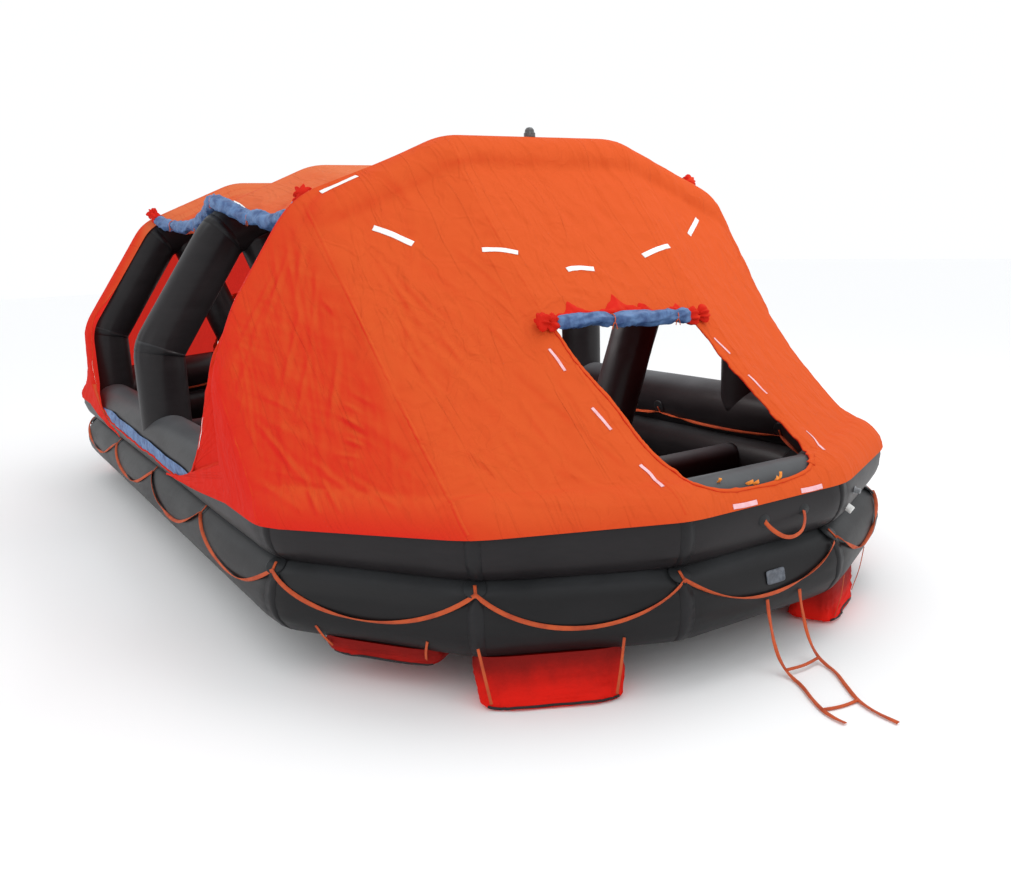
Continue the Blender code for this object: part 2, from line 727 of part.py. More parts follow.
def valves():
    """Valves that stand out of the upper tube beside the end side, each on a flat of the tube."""
    first, second = HULL[0], HULL[1]
    way = (second - first).normalized()
    heading = math.atan2(-way.x, way.y)
    for name, share, flat, size, colour in VALVES:
        spot = first.lerp(second, share)
        tilt = math.radians(360 / SIDES) * flat
        seat = TUBE_R * FACET + GAP
        for end, turn in (("near", 0.0), ("far", math.pi)):
            thing = screw_solid(name + "_" + end, VALVE_PROFILE, VALVE_SIDES, colour)
            thing.data.transform(Matrix.Scale(size, 4))
            thing.data.transform(Matrix.Rotation(math.radians(90) + tilt, 4, 'Y'))
            thing.data.transform(Matrix.Translation((seat * math.cos(tilt) - TUBE_R, 0, -seat * math.sin(tilt))))
            thing.data.transform(Matrix.Rotation(heading, 4, 'Z'))
            thing.data.transform(Matrix.Translation((spot.x, spot.y, UPPER_Z)))
            thing.data.transform(Matrix.Rotation(turn, 4, 'Z'))


valves()

LIGHT_PROFILE = ((0.0, 0.075), (0.022, 0.070), (0.035, 0.055), (0.038, 0.035), (0.045, 0.030), (0.045, 0.0), (0.0, 0.0))


def canopy_light():
    """The small lamp on the top of the near arch."""
    thing = screw_solid("canopy_light", LIGHT_PROFILE, 12, "white")
    top = HALF_ARCH[2].y + SKIN + FABRIC + 2 * GAP
    thing.data.transform(Matrix.Translation((ARCH_SPACING, 0.0, top)))
    return thing


canopy_light()


# Gas cylinders that the raft rests on

CYLINDER_PROFILE = ((0.0, 0.80), (0.035, 0.80), (0.035, 0.745), (0.060, 0.735), (0.105, 0.700), (0.130, 0.650),
                    (CYLINDER_R, 0.600), (CYLINDER_R, -0.620), (0.128, -0.690), (0.095, -0.755), (0.045, -0.795),
                    (0.0, -0.80))


def gas_cylinder(name, x, way):
    """A steel gas cylinder under the floor, lying across the raft."""
    thing = screw_solid(name, CYLINDER_PROFILE, 16, "steel")
    thing.data.transform(Matrix.Rotation(math.radians(-90 * way), 4, 'X'))
    thing.data.transform(Matrix.Translation((x, 0, CYLINDER_R + BAND + GAP)))
    return thing


def cylinder_band(name, x, y):
    """A strap that goes round the gas cylinder and is sewn to the floor's underside."""
    inner = CYLINDER_R + SKIN
    outer = CYLINDER_R + BAND + GAP
    profile = ((inner, BAND_WIDTH / 2), (outer, BAND_WIDTH / 2), (outer, -BAND_WIDTH / 2), (inner, -BAND_WIDTH / 2),
               (inner, BAND_WIDTH / 2))
    thing = screw_solid(name, profile, 16, "webbing")
    thing.data.transform(Matrix.Rotation(math.radians(90), 4, 'X'))
    thing.data.transform(Matrix.Translation((x, y, CYLINDER_R + BAND + GAP)))
    return thing


for end_name, way in (("near", 1), ("far", -1)):
    gas_cylinder("gas_cylinder_" + end_name, way * CYLINDER_X, way)
    for side_name, y in (("left", -BAND_Y), ("right", BAND_Y)):
        cylinder_band("cylinder_band_" + end_name + "_" + side_name, way * CYLINDER_X, y)


# Water pockets

POCKET_FLOOR = 0.012


def pocket(name, x, y, heading):
    """A water pocket: a fabric bag that hangs from the underside, narrower at its weighted bottom."""
    bpy.ops.mesh.primitive_cube_add(size=1, location=(0, 0, 0))
    box = bpy.context.object
    for corner in box.data.vertices:
        top = corner.co.z > 0
        length, width = POCKET_TOP if top else POCKET_BOTTOM
        corner.co.x = math.copysign(width / 2, corner.co.x)
        corner.co.y = math.copysign(length / 2, corner.co.y)
        corner.co.z = FLOOR_UNDER - GAP if top else POCKET_FLOOR
    box.data.transform(Matrix.Rotation(heading, 4, 'Z'))
    box.data.transform(Matrix.Translation((x, y, 0)))
    bpy.context.view_layer.update()
    return baked(box, name, "red")


# name of the near pocket, name of its twin at the far end, and the tube side that it hangs under
POCKETS = (("near_right", "far_left", 0), ("side_near_right", "side_far_left", 1),
           ("near_left", "far_right", 10), ("side_near_left", "side_far_right", 9))


def pockets():
    """A pocket under the middle of each slanting side of the lower tube, at both ends."""
    line = inset(HULL, TUBE_R, True)
    for name, twin, side in POCKETS:
        first, second = line[side], line[(side + 1) % len(line)]
        middle = (first + second) / 2
        way = second - first
        heading = math.atan2(-way.x, way.y)
        pocket("pocket_" + name, middle.x, middle.y, heading)
        pocket("pocket_" + twin, -middle.x, -middle.y, heading + math.pi)


pockets()


# Boarding ladder of the near end

STRAP_R = 0.013
STRAP_TURN = math.radians(360 / SIDES)     # the straps leave the lower tube one corner line below its middle
STRAP_LEAN = 0.0027             # the strap's slanting top end stands off this much less
STRAP_SEAT = TUBE_R + STRAP_R * math.cos(math.pi / 8) + GAP - STRAP_LEAN
STRAP_OUT = OUTER_CORNERS[2][0] - TUBE_R + STRAP_SEAT * math.cos(STRAP_TURN)
STRAP_TOP = LOWER_Z - STRAP_SEAT * math.sin(STRAP_TURN)
ON_FLOOR = STRAP_R + GAP
# x, y, z of each strap: down from the lower tube's side, and then out over the floor
STRAP_ROUTES = {
    "left": ((STRAP_OUT, -0.033, STRAP_TOP), (5.150, -0.034, 0.360), (5.175, -0.037, 0.270), (5.205, -0.040, 0.180),
             (5.250, -0.044, 0.098), (5.310, -0.048, 0.040), (5.390, -0.062, ON_FLOOR), (5.490, -0.102, ON_FLOOR),
             (5.610, -0.168, ON_FLOOR), (5.733, -0.226, ON_FLOOR), (5.820, -0.245, ON_FLOOR),
             (5.905, -0.244, ON_FLOOR)),
    "right": ((STRAP_OUT, 0.258, STRAP_TOP), (5.150, 0.258, 0.360), (5.175, 0.257, 0.270), (5.205, 0.256, 0.180),
              (5.250, 0.255, 0.098), (5.310, 0.252, 0.040), (5.390, 0.242, ON_FLOOR), (5.490, 0.203, ON_FLOOR),
              (5.625, 0.116, ON_FLOOR), (5.776, 0.029, ON_FLOOR), (5.920, -0.008, ON_FLOOR),
              (6.070, -0.014, ON_FLOOR)),
}
RUNG_R = 0.010
RUNG_STOPS = ((5, 0.0142), (9, 0.0165))     # point of the routes, and how far short of the straps it ends


def smooth_route(points, per_span):
    """Points read from a smooth curve through the route's own points, never lower than lying on the floor."""
    ends = [2 * points[0] - points[1]] + points + [2 * points[-1] - points[-2]]
    result = []
    for a, b, c, d in zip(ends, ends[1:], ends[2:], ends[3:]):
        for step in range(per_span):
            t = step / per_span
            result.append(0.5 * (2 * b + (c - a) * t + (2 * a - 5 * b + 4 * c - d) * t ** 2
                                 + (3 * b - a - 3 * c + d) * t ** 3))
    result.append(points[-1])
    for point in result:
        point.z = max(point.z, ON_FLOOR)
    return result


def ladder():
    routes = {side: [Vector(p) for p in route] for side, route in STRAP_ROUTES.items()}
    for side, route in routes.items():
        tube("ladder_strap_" + side, smooth_route(route, 2), STRAP_R, 8, False, "webbing")
    for number, (stop, short) in enumerate(RUNG_STOPS, 1):
        left, right = routes["left"][stop], routes["right"][stop]
        across = (right - left).normalized() * short
        tube("ladder_rung_" + str(number), [left + across, right - across], RUNG_R, 8, False, "webbing", 'MINIMUM')


ladder()
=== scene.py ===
import itertools
import math

import bmesh
import bpy
import numpy as np
from mathutils import Matrix, Vector
from mathutils.bvhtree import BVHTree


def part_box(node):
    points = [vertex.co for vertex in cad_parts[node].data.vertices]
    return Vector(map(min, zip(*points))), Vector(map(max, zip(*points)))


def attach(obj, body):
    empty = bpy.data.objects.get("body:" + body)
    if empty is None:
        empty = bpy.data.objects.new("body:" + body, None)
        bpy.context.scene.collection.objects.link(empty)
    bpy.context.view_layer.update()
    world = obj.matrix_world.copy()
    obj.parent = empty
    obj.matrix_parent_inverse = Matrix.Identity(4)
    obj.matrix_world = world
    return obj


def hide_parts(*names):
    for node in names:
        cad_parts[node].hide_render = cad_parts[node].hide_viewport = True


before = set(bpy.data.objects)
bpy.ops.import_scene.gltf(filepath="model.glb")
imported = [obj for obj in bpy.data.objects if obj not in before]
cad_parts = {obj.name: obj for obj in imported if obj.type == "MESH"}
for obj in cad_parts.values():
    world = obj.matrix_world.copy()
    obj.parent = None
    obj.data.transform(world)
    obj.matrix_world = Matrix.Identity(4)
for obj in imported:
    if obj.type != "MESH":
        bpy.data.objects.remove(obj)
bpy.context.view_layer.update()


# The photographer's stand
# The camera stands off the raft's left front quarter, a little below the canopy's top, and looks slightly
# down. Its place, aim and lens are those that put the raft's corners where the photograph has them.

camera_place = Vector((8.971, -4.286, 2.695))
camera_yaw = math.radians(31.854)        # turned from the raft's own length towards its right side
camera_pitch = math.radians(-12.354)
camera_roll = math.radians(-2.181)
picture_width = 1011
picture_height = 889
focal_pixels = 943.4
sensor_width = 36.0

ahead = Vector((-math.cos(camera_yaw) * math.cos(camera_pitch),
                math.sin(camera_yaw) * math.cos(camera_pitch), math.sin(camera_pitch)))
level_right = ahead.cross(Vector((0, 0, 1))).normalized()
level_up = level_right.cross(ahead)
camera_right = math.cos(camera_roll) * level_right + math.sin(camera_roll) * level_up
camera_up = math.cos(camera_roll) * level_up - math.sin(camera_roll) * level_right
lens = bpy.data.cameras.new("camera")
lens.sensor_width = sensor_width
lens.lens = sensor_width * focal_pixels / picture_width
lens.clip_end = 200.0
camera = bpy.data.objects.new("camera", lens)
camera.matrix_world = Matrix.Translation(camera_place) @ Matrix(
    (camera_right, camera_up, -ahead)).transposed().to_4x4()
bpy.context.scene.collection.objects.link(camera)
bpy.context.scene.camera = camera
bpy.context.scene.view_settings.view_transform = 'Standard'


def picture_ray(across, down):
    """The direction from the camera through a pixel of the photograph."""
    return (ahead + camera_right * ((across - picture_width / 2) / focal_pixels)
            - camera_up * ((down - picture_height / 2) / focal_pixels)).normalized()


# Floor and studio light
# A pale plain floor runs out to where it can't be seen, under a pale sky. Three large soft lamps light the
# raft, and a dim one the floor inside it. None of this is part of the raft.

class Wire:
    """An output of a node, used in arithmetic: each operator adds a Math node."""

    def __init__(self, finish, socket):
        self.finish = finish
        self.socket = socket

    def math(self, operation, other=None, swapped=False):
        pair = (other, self) if swapped else (self, other)
        values = {i: value for i, value in enumerate(pair) if value is not None}
        return self.finish.add("Math", {"operation": operation}, values)

    def __add__(self, other):
        return self.math('ADD', other)

    def __radd__(self, other):
        return self.math('ADD', other, True)

    def __sub__(self, other):
        return self.math('SUBTRACT', other)

    def __rsub__(self, other):
        return self.math('SUBTRACT', other, True)

    def __mul__(self, other):
        return self.math('MULTIPLY', other)

    def __rmul__(self, other):
        return self.math('MULTIPLY', other, True)

    def stepped(self, low, high):
        """0 below low, 1 above high and smooth between."""
        return self.finish.add("MapRange", {"interpolation_type": 'SMOOTHSTEP'},
                               {"Value": self, "From Min": low, "From Max": high})


class Finish:
    """A material: a Principled shader with its constants, and nodes for what varies over the surface."""

    def __init__(self, name, **constants):
        self.material = bpy.data.materials.new(name)
        self.material.use_nodes = True
        self.tree = self.material.node_tree
        self.shader = self.tree.nodes["Principled BSDF"]
        for socket, value in constants.items():
            self.shader.inputs[socket.replace("_", " ")].default_value = value
        self.place = self.add("TexCoord", output="Object")

    def add(self, kind, settings=None, values=None, output=0):
        """Adds a node: its settings first, then the values or links of its sockets."""
        node = self.tree.nodes.new("ShaderNode" + kind)
        for name, value in (settings or {}).items():
            setattr(node, name, value)
        for name, value in (values or {}).items():
            if isinstance(value, Wire):
                self.tree.links.new(value.socket, node.inputs[name])
            else:
                node.inputs[name].default_value = value
        return Wire(self, node.outputs[output])

    def stretched(self, scale, turn=(0, 0, 0)):
        """The object's coordinates, scaled along each axis."""
        return self.add("Mapping", None, {"Vector": self.place, "Scale": scale, "Rotation": turn})

    def noise(self, scale, detail=3.0, rough=0.55, place=None, twist=0.0):
        return self.add("TexNoise", None, {"Vector": place or self.place, "Scale": scale, "Detail": detail,
                                           "Roughness": rough, "Distortion": twist})

    def between(self, share, first, second):
        """A colour between two, each a plain colour or a wire."""
        return self.add("Mix", {"data_type": 'RGBA'}, {0: share, 6: first, 7: second}, 2)

    def bump(self, height, strength, distance, under=None):
        values = {"Height": height, "Strength": strength, "Distance": distance}
        if under is not None:
            values["Normal"] = under
        return self.add("Bump", None, values)

    def feed(self, **links):
        for socket, wire in links.items():
            self.tree.links.new(wire.socket, self.shader.inputs[socket.replace("_", " ")])
        return self.material


floor_half = 60.0
floor_finish = Finish("studio_floor", Base_Color=(0.97, 0.97, 0.97, 1.0), Roughness=0.9,
                      Specular_IOR_Level=0.2)
bpy.ops.object.select_all(action='DESELECT')
bpy.ops.mesh.primitive_plane_add(size=2 * floor_half, location=(0, 0, 0))
studio_floor = bpy.context.object
studio_floor.name = "studio_floor"
studio_floor.data.materials.append(floor_finish.material)

sky = bpy.data.worlds.new("sky")
bpy.context.scene.world = sky
sky.use_nodes = True
sky.node_tree.nodes["Background"].inputs["Color"].default_value = (0.97, 0.985, 1.0, 1.0)
sky.node_tree.nodes["Background"].inputs["Strength"].default_value = 1.03

# name, place, aim, size across and power
lamps = (("lamp_high", (4.0, 3.5, 9.5), (1.0, 0.0, 1.0), 7.0, 250.0),
         ("lamp_front", (13.0, 3.0, 6.0), (2.5, 0.0, 1.5), 6.0, 60.0),
         ("lamp_left", (3.0, -12.0, 5.5), (0.0, 0.0, 1.2), 6.0, 80.0),
         ("lamp_inside", (1.3, 0.0, 2.75), (1.3, 0.0, 0.0), 2.2, 80.0))
for lamp_name, place, aim, across, power in lamps:
    light = bpy.data.lights.new(lamp_name, 'AREA')
    light.shape = 'DISK'
    light.size = across
    light.energy = power
    lamp = bpy.data.objects.new(lamp_name, light)
    lamp.location = place
    lamp.visible_camera = False
    lamp.rotation_euler = (Vector(aim) - Vector(place)).to_track_quat('-Z', 'Y').to_euler()
    bpy.context.scene.collection.objects.link(lamp)


# Boarding ladder
# Two straps of orange webbing with two rungs, sewn to the lower tube under the entrance. It hangs down and
# its lower part lies on the floor. The straps' routes are the construction's own.

piece_body = "root"


def unit(rows):
    """Each row, or the one vector, made 1 long."""
    rows = np.asarray(rows, float)
    return rows / np.maximum(np.linalg.norm(rows, axis=-1, keepdims=True), 1e-12)


def rounded(points, per_span):
    """A smooth curve through the points."""
    points = np.asarray(points, float)
    ends = np.vstack([2 * points[0] - points[1], points, 2 * points[-1] - points[-2]])
    result = []
    for a, b, c, d in zip(ends, ends[1:], ends[2:], ends[3:]):
        for t in np.arange(per_span) / per_span:
            result.append(0.5 * (2 * b + (c - a) * t + (2 * a - 5 * b + 4 * c - d) * t ** 2
                                 + (3 * b - a - 3 * c + d) * t ** 3))
    result.append(points[-1])
    return np.array(result)


def full_turn(count):
    """Angles all the way round."""
    return np.linspace(0, 2 * math.pi, count, endpoint=False)


def thing_of(name, points, faces, cut):
    """A smooth mesh; the cut gives each point its place on the flat cloth, in metres, as a UV map."""
    mesh = bpy.data.meshes.new(name)
    mesh.from_pydata([tuple(p) for p in points], [], faces)
    if cut is not None:
        corners = [index for face in faces for index in face]
        mesh.uv_layers.new(name="cut").data.foreach_set("uv", np.asarray(cut, np.float32)[corners].ravel())
    mesh.shade_smooth()
    thing = bpy.data.objects.new(name, mesh)
    bpy.context.scene.collection.objects.link(thing)
    return thing


def net(name, grid, closed_rows=False, closed_columns=False, gone=None, caps=False, cut=None):
    """A mesh on a grid of points (rows, columns, 3), without the cells that are gone."""
    rows, columns = grid.shape[:2]
    faces = []
    for i in range(rows if closed_rows else rows - 1):
        for j in range(columns if closed_columns else columns - 1):
            if gone is None or not gone[i, j]:
                below, beside = (i + 1) % rows * columns, (j + 1) % columns
                faces.append((i * columns + j, i * columns + beside, below + beside, below + j))
    if caps:
        faces.append(tuple(range(columns))[::-1])
        faces.append(tuple((rows - 1) * columns + j for j in range(columns)))
    thing = thing_of(name, grid.reshape(-1, 3), faces, None if cut is None else cut.reshape(-1, 2))
    body = bmesh.new()
    body.from_mesh(thing.data)
    bmesh.ops.delete(body, geom=[v for v in body.verts if not v.link_faces], context='VERTS')
    if caps or closed_rows and closed_columns:
        bmesh.ops.recalc_face_normals(body, faces=body.faces)
    body.to_mesh(thing.data)
    body.free()
    return thing


def finished(thing, finish):
    thing.data.materials.clear()
    thing.data.materials.append(finish)


def fitted(thing, slot, finish, *nodes):
    """Gives a piece its finish and body, and hides the plain nodes that it stands for; the slot is not used.
    """
    finished(thing, finish)
    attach(thing, piece_body)
    if nodes:
        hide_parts(*nodes)
    return thing


def frames_along(line, up=None):
    """Two unit vectors across a line at each of its points, carried along without twist or kept near up."""
    way = unit(np.gradient(line, axis=0))
    across = []
    wishes = None if up is None else np.broadcast_to(np.asarray(up, float), way.shape)
    last = np.array((0.0, 0.0, 1.0)) if up is None else wishes[0]
    for i, t in enumerate(way):
        wanted = last if up is None else wishes[i]
        side = wanted - t * np.dot(wanted, t)
        if np.linalg.norm(side) < 1e-4:
            side = last - t * np.dot(last, t)
        last = side / max(np.linalg.norm(side), 1e-9)
        across.append(last)
    across = np.array(across)
    return across, np.cross(way, across)


def swept(name, line, section, up=None, closed=False):
    """A closed mesh along a line, with one section of points (out, across) or one for each of its points."""
    out, side = frames_along(line, up)
    section = np.asarray(section, float)
    if section.ndim == 2:
        section = np.broadcast_to(section, (len(line),) + section.shape)
    grid = line[:, None] + section[..., :1] * out[:, None] + section[..., 1:] * side[:, None]
    return net(name, grid, closed, True, caps=not closed)


def circle(radius, count):
    turn = full_turn(count)
    return np.stack([np.cos(turn) * radius, np.sin(turn) * radius], 1)


def strap(thickness, width):
    """The section of flat webbing, (out, across)."""
    half, edge = thickness / 2, width / 2
    rim = edge - 0.3 * thickness
    return np.array([(-half, -rim), (0, -edge), (half, -rim), (half, rim), (0, edge), (-half, rim)])


webbing_finish = Finish("orange_webbing", Roughness=0.78)
weave = webbing_finish.add("TexWave", {"wave_type": 'BANDS', "bands_direction": 'DIAGONAL'},
                           {"Vector": webbing_finish.place, "Scale": 190.0, "Distortion": 0.3})
soil = webbing_finish.noise(9.0, 4.0, 0.6)
webbing = webbing_finish.feed(
    Base_Color=webbing_finish.between(soil.stepped(0.35, 0.75), (0.56, 0.085, 0.016, 1),
                                      (0.40, 0.050, 0.012, 1)),
    Normal=webbing_finish.bump(weave, 0.35, 0.0015))

strap_width = 0.026
on_floor = 0.0133
ladder_routes = {
    "left": ((5.135, -0.033, 0.442), (5.150, -0.034, 0.360), (5.175, -0.037, 0.270), (5.205, -0.040, 0.180),
             (5.250, -0.044, 0.098), (5.310, -0.048, 0.040), (5.390, -0.062, on_floor),
             (5.490, -0.102, on_floor), (5.610, -0.168, on_floor), (5.733, -0.226, on_floor),
             (5.820, -0.245, on_floor), (5.905, -0.244, on_floor)),
    "right": ((5.135, 0.258, 0.442), (5.150, 0.258, 0.360), (5.175, 0.257, 0.270), (5.205, 0.256, 0.180),
              (5.250, 0.255, 0.098), (5.310, 0.252, 0.040), (5.390, 0.242, on_floor),
              (5.490, 0.203, on_floor), (5.625, 0.116, on_floor), (5.776, 0.029, on_floor),
              (5.920, -0.008, on_floor), (6.070, -0.014, on_floor)),
}
rung_stops = (5, 9)
for number, stop in enumerate(rung_stops, 1):
    left, right = (np.array(ladder_routes[side][stop]) for side in ("left", "right"))
    bow = np.array((0.012, 0.0, -0.004))
    line = rounded([left, (left + right) / 2 + bow, right], 8)
    line[:, 2] = np.maximum(line[:, 2], 0.0105)
    rung = swept("ladder_rung_" + str(number) + "_look", line, circle(0.0095, 14))
    fitted(rung, "webbing", webbing, "ladder_rung_" + str(number))
for side, route in ladder_routes.items():
    path = rounded(route, 4)
    path[:, 2] = np.maximum(path[:, 2], on_floor)
    broad = unit(np.gradient(path, axis=0))
    facing = np.cross(np.broadcast_to((0.0, 1.0, 0.0), broad.shape), broad)
    twist = np.sin(np.arange(len(path)) * 0.55 + (0 if side == "left" else 2)) * 0.25
    facing = unit(facing) + np.array((0, 1, 0)) * twist[:, None]
    ladder_strap = swept("ladder_strap_" + side + "_look", path, strap(0.006, strap_width), facing)
    fitted(ladder_strap, "webbing", webbing, "ladder_strap_" + side)


# The two buoyancy tubes
# Two rings of coated fabric, one on the other, each glued from twelve straight lengths with mitred ends. A
# tape covers each mitre, and the cloth puckers where the ring bends. Charcoal coating, dull, pale on top
# from dust and painted highlight; the lower ring is painted darker, as the shade that falls on it.

def moved_in(points, distance, closed=True):
    """An outline moved to its left by the distance, its corners kept sharp."""
    points = np.asarray(points, float)
    into = unit(points - np.roll(points, 1, axis=0))
    out = unit(np.roll(points, -1, axis=0) - points)
    if not closed:
        into[0], out[-1] = out[0], into[-1]
    left_in = np.stack([-into[:, 1], into[:, 0]], 1)
    left_out = np.stack([-out[:, 1], out[:, 0]], 1)
    side = unit(left_in + left_out)
    return points + side * (distance / np.sum(side * left_in, axis=1))[:, None]


corner_cut = 0.09
corner_parts = 6


def bent(points, closed):
    """Each corner of the outline drawn as a short curve."""
    path = []
    for i, point in enumerate(points):
        if not closed and i in (0, len(points) - 1):
            path.append(point)
            continue
        start = point + unit(points[i - 1] - point) * corner_cut
        end = point + unit(points[(i + 1) % len(points)] - point) * corner_cut
        for share in np.linspace(0, 1, corner_parts + 1):
            path.append(start * (1 - share) ** 2 + 2 * share * (1 - share) * point + end * share ** 2)
    return np.array(path)


def left_of(path, closed):
    """Unit normals on the left of a flat path."""
    before = path - np.roll(path, 1, axis=0)
    after = np.roll(path, -1, axis=0) - path
    if not closed:
        before[0], after[-1] = after[0], before[-1]
    way = unit(unit(before) + unit(after))
    return np.stack([-way[:, 1], way[:, 0]], 1)


def subdivided(line, step, closed=False):
    """The line with more points between its own, none further apart than the step."""
    line = np.asarray(line, float)
    result = []
    for i in range(len(line) if closed else len(line) - 1):
        start, end = line[i], line[(i + 1) % len(line)]
        count = max(1, math.ceil(np.linalg.norm(end - start) / step))
        result += [start + (end - start) * k / count for k in range(count)]
    if not closed:
        result.append(line[-1])
    return np.array(result)


def noise_at(x, y, z, seed):
    """Smooth noise from -1 to 1 at places x, y, z, the same in every run."""
    places = np.stack(np.broadcast_arrays(x, y, z)).astype(float)
    cell = np.floor(places).astype(np.int64)
    inside = places - cell
    ease = inside * inside * (3 - 2 * inside)
    total = np.zeros(places.shape[1:])
    for dx, dy, dz in itertools.product((0, 1), repeat=3):
        mixed = ((cell[0] + dx) * 73856093 ^ (cell[1] + dy) * 19349663
                 ^ (cell[2] + dz) * 83492791 ^ (seed + 11) * 265443576)
        mixed = (mixed ^ (mixed >> 13)) * 1274126177
        value = ((mixed ^ (mixed >> 16)) & 65535) / 32767.5 - 1
        weight = (ease[0] if dx else 1 - ease[0]) * (ease[1] if dy else 1 - ease[1])
        total += value * weight * (ease[2] if dz else 1 - ease[2])
    return total


def one_of(parts, name):
    """Joins pieces into one."""
    bpy.ops.object.select_all(action='DESELECT')
    for part in parts:
        part.select_set(True)
    bpy.context.view_layer.objects.active = parts[0]
    if len(parts) > 1:
        bpy.ops.object.join()
    parts[0].name = name
    return parts[0]


tube_radius = 0.235
tube_tall = 0.260             # half the height of a tube, which hangs a little slack
tube_sink = tube_tall - tube_radius
outer_corners = ((3.39, 2.64), (4.58, 1.81), (5.14, 0.68))   # x, y of one quarter of the tubes' outer side
lower_low, lower_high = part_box("lower_tube")
upper_low, upper_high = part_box("upper_tube")
lower_height = (lower_low[2] + lower_high[2]) / 2
upper_height = (upper_low[2] + upper_high[2]) / 2


def tube_finish(name, dark, light, top_pale_amount):
    """Coated tube fabric: dull charcoal with cloudy wear, a fine weave under the coating, and a pale grey on
    top, partly settled dirt and partly a painted highlight.
    """
    finish = Finish(name, Specular_IOR_Level=0.15, Coat_Weight=0.20, Coat_Roughness=0.30)
    cloud = finish.noise(1.3, 5.0, 0.6, twist=0.4)
    streak = finish.noise(7.0, 4.0, 0.65, finish.stretched((0.35, 0.35, 1.6)))
    grain = finish.noise(160.0, 2.0, 0.6)
    facing = finish.add("NewGeometry", output="Normal")
    upward = finish.add("SeparateXYZ", None, {"Vector": facing}, "Z")
    worn = (cloud * 0.6 + streak * 0.4).stepped(0.38, 0.68)
    # painted highlight and dust: surfaces that face up turn a pale blue-grey, partly settled dust and partly
    # a painted sheen of the light from above
    dust_and_top_highlight = upward.stepped(0.45, 1.0) * (cloud.stepped(0.3, 0.75) * 0.45 + 0.5) * top_pale_amount
    colour = finish.between(dust_and_top_highlight, finish.between(worn, dark, light), (0.105, 0.112, 0.118, 1.0))
    rough = 0.46 + worn * 0.13 + dust_and_top_highlight * 0.25 + grain * 0.05
    cloth = finish.bump(grain, 0.10, 0.001)
    creased = finish.bump(finish.noise(11.0, 5.0, 0.62, twist=0.6), 0.18, 0.010, cloth)
    return finish.feed(Base_Color=colour, Roughness=rough, Normal=creased)


charcoal = tube_finish("charcoal_tube_cloth", (0.0098, 0.0080, 0.0090, 1), (0.0165, 0.0140, 0.0152, 1), 1.0)
# the lower ring: the same cloth, painted darker for the shade that falls on it, with less of the pale top
shaded_lower_charcoal = tube_finish("lower_tube_cloth_shaded", (0.0050, 0.0046, 0.0052, 1),
                             (0.0092, 0.0082, 0.0090, 1), 0.5)
seam_charcoal = tube_finish("charcoal_seam_tape", (0.0085, 0.0080, 0.0090, 1),
                            (0.0150, 0.0140, 0.0155, 1), 0.5)

quarter = [np.array(c) for c in outer_corners]
hull = np.array([(x, y) for x, y in reversed(quarter)] + [(-x, y) for x, y in quarter]
                + [(-x, -y) for x, y in reversed(quarter)] + [(x, -y) for x, y in quarter])
ring_corners = moved_in(hull, tube_radius)
ring_line = bent(ring_corners, True)


def at_height(flat, z):
    """A flat outline's points, all at one height or each at its own."""
    return np.column_stack([flat, np.broadcast_to(z, len(flat))])


class Tube:
    """A tube of inflated cloth along a line, glued together at its corners."""

    def __init__(self, centres, outward, across, radius, corners, seed, tall=1.0):
        self.centres = centres
        self.outward = np.broadcast_to(outward, centres.shape)
        self.across = across
        self.radius = radius
        self.corners = corners
        self.seed = seed
        self.tall = tall

    def rings(self, off=0.0, part=slice(None)):
        """Its skin's points: it puckers beside the seams at the corners and is slack in places."""
        centres = self.centres[part, None]
        gap = np.linalg.norm(centres - self.corners, axis=2)
        near = gap.min(axis=1)[:, None]
        which = gap.argmin(axis=1)[:, None] * 5.1
        turn = full_turn(points_round)[None]
        beside = np.exp(-(near / 0.13) ** 2) * (1 - np.exp(-(near / 0.025) ** 2))
        pucker = np.abs(noise_at(turn * 5.5 + which, near * 2, which, self.seed)) * pucker_depth * beside
        skin = self.radius - seam_pinch * np.exp(-(near / 0.030) ** 2) - pucker
        way = (np.cos(turn)[..., None] * self.outward[part, None]
               + np.sin(turn)[..., None] * self.across * self.tall)
        spots = centres + skin[..., None] * way
        slack = noise_at(*np.moveaxis(spots * 1.7, -1, 0), self.seed + 6) * slack_depth - slack_depth / 2
        return centres + (skin + slack + off)[..., None] * way

    def covered(self, node, finish, closed=False):
        """The tube's skin, in the place of its plain node."""
        skin = net(node + "_skin", self.rings(), closed, True, caps=not closed)
        fitted(skin, "tube_rubber", finish, node)

    def taped(self, node):
        """The tapes glued over the mitred seams."""
        gap = np.linalg.norm(self.centres[:, None] - self.corners, axis=2)
        tapes = []
        for corner in range(len(self.corners)):
            near = np.where((gap.argmin(axis=1) == corner) & (gap.min(axis=1) < seam_tape_half))[0]
            if near[-1] - near[0] > len(self.centres) // 2:
                near = np.roll(near, -np.argmax(np.diff(near)) - 1)
            if len(near) > 1:
                outer = self.rings(seam_tape_lift, near)
                inner = self.rings(-2 * seam_tape_lift, near)
                tapes.append(net("tape", np.concatenate([inner[:1], outer, inner[-1:]]), closed_columns=True))
        fitted(one_of(tapes, node + "_seams"), "tube_rubber", seam_charcoal)


points_round = 72
pucker_depth = 0.010
seam_pinch = 0.0030
slack_depth = 0.004
seam_tape_half = 0.055
seam_tape_lift = 0.0020
ring_path = subdivided(ring_line, 0.055, True)
ring_normals = -left_of(ring_path, True)
upright = np.array((0.0, 0.0, 1.0))
for node, height, finish, seed in (("lower_tube", lower_height, shaded_lower_charcoal, 3),
                                   ("upper_tube", upper_height, charcoal, 31)):
    level = height - tube_sink
    ring = Tube(at_height(ring_path, level), at_height(ring_normals, 0.0), upright, tube_radius,
                at_height(ring_corners, level), seed, tube_tall / tube_radius)
    ring.covered(node, finish, closed=True)
    ring.taped(node)


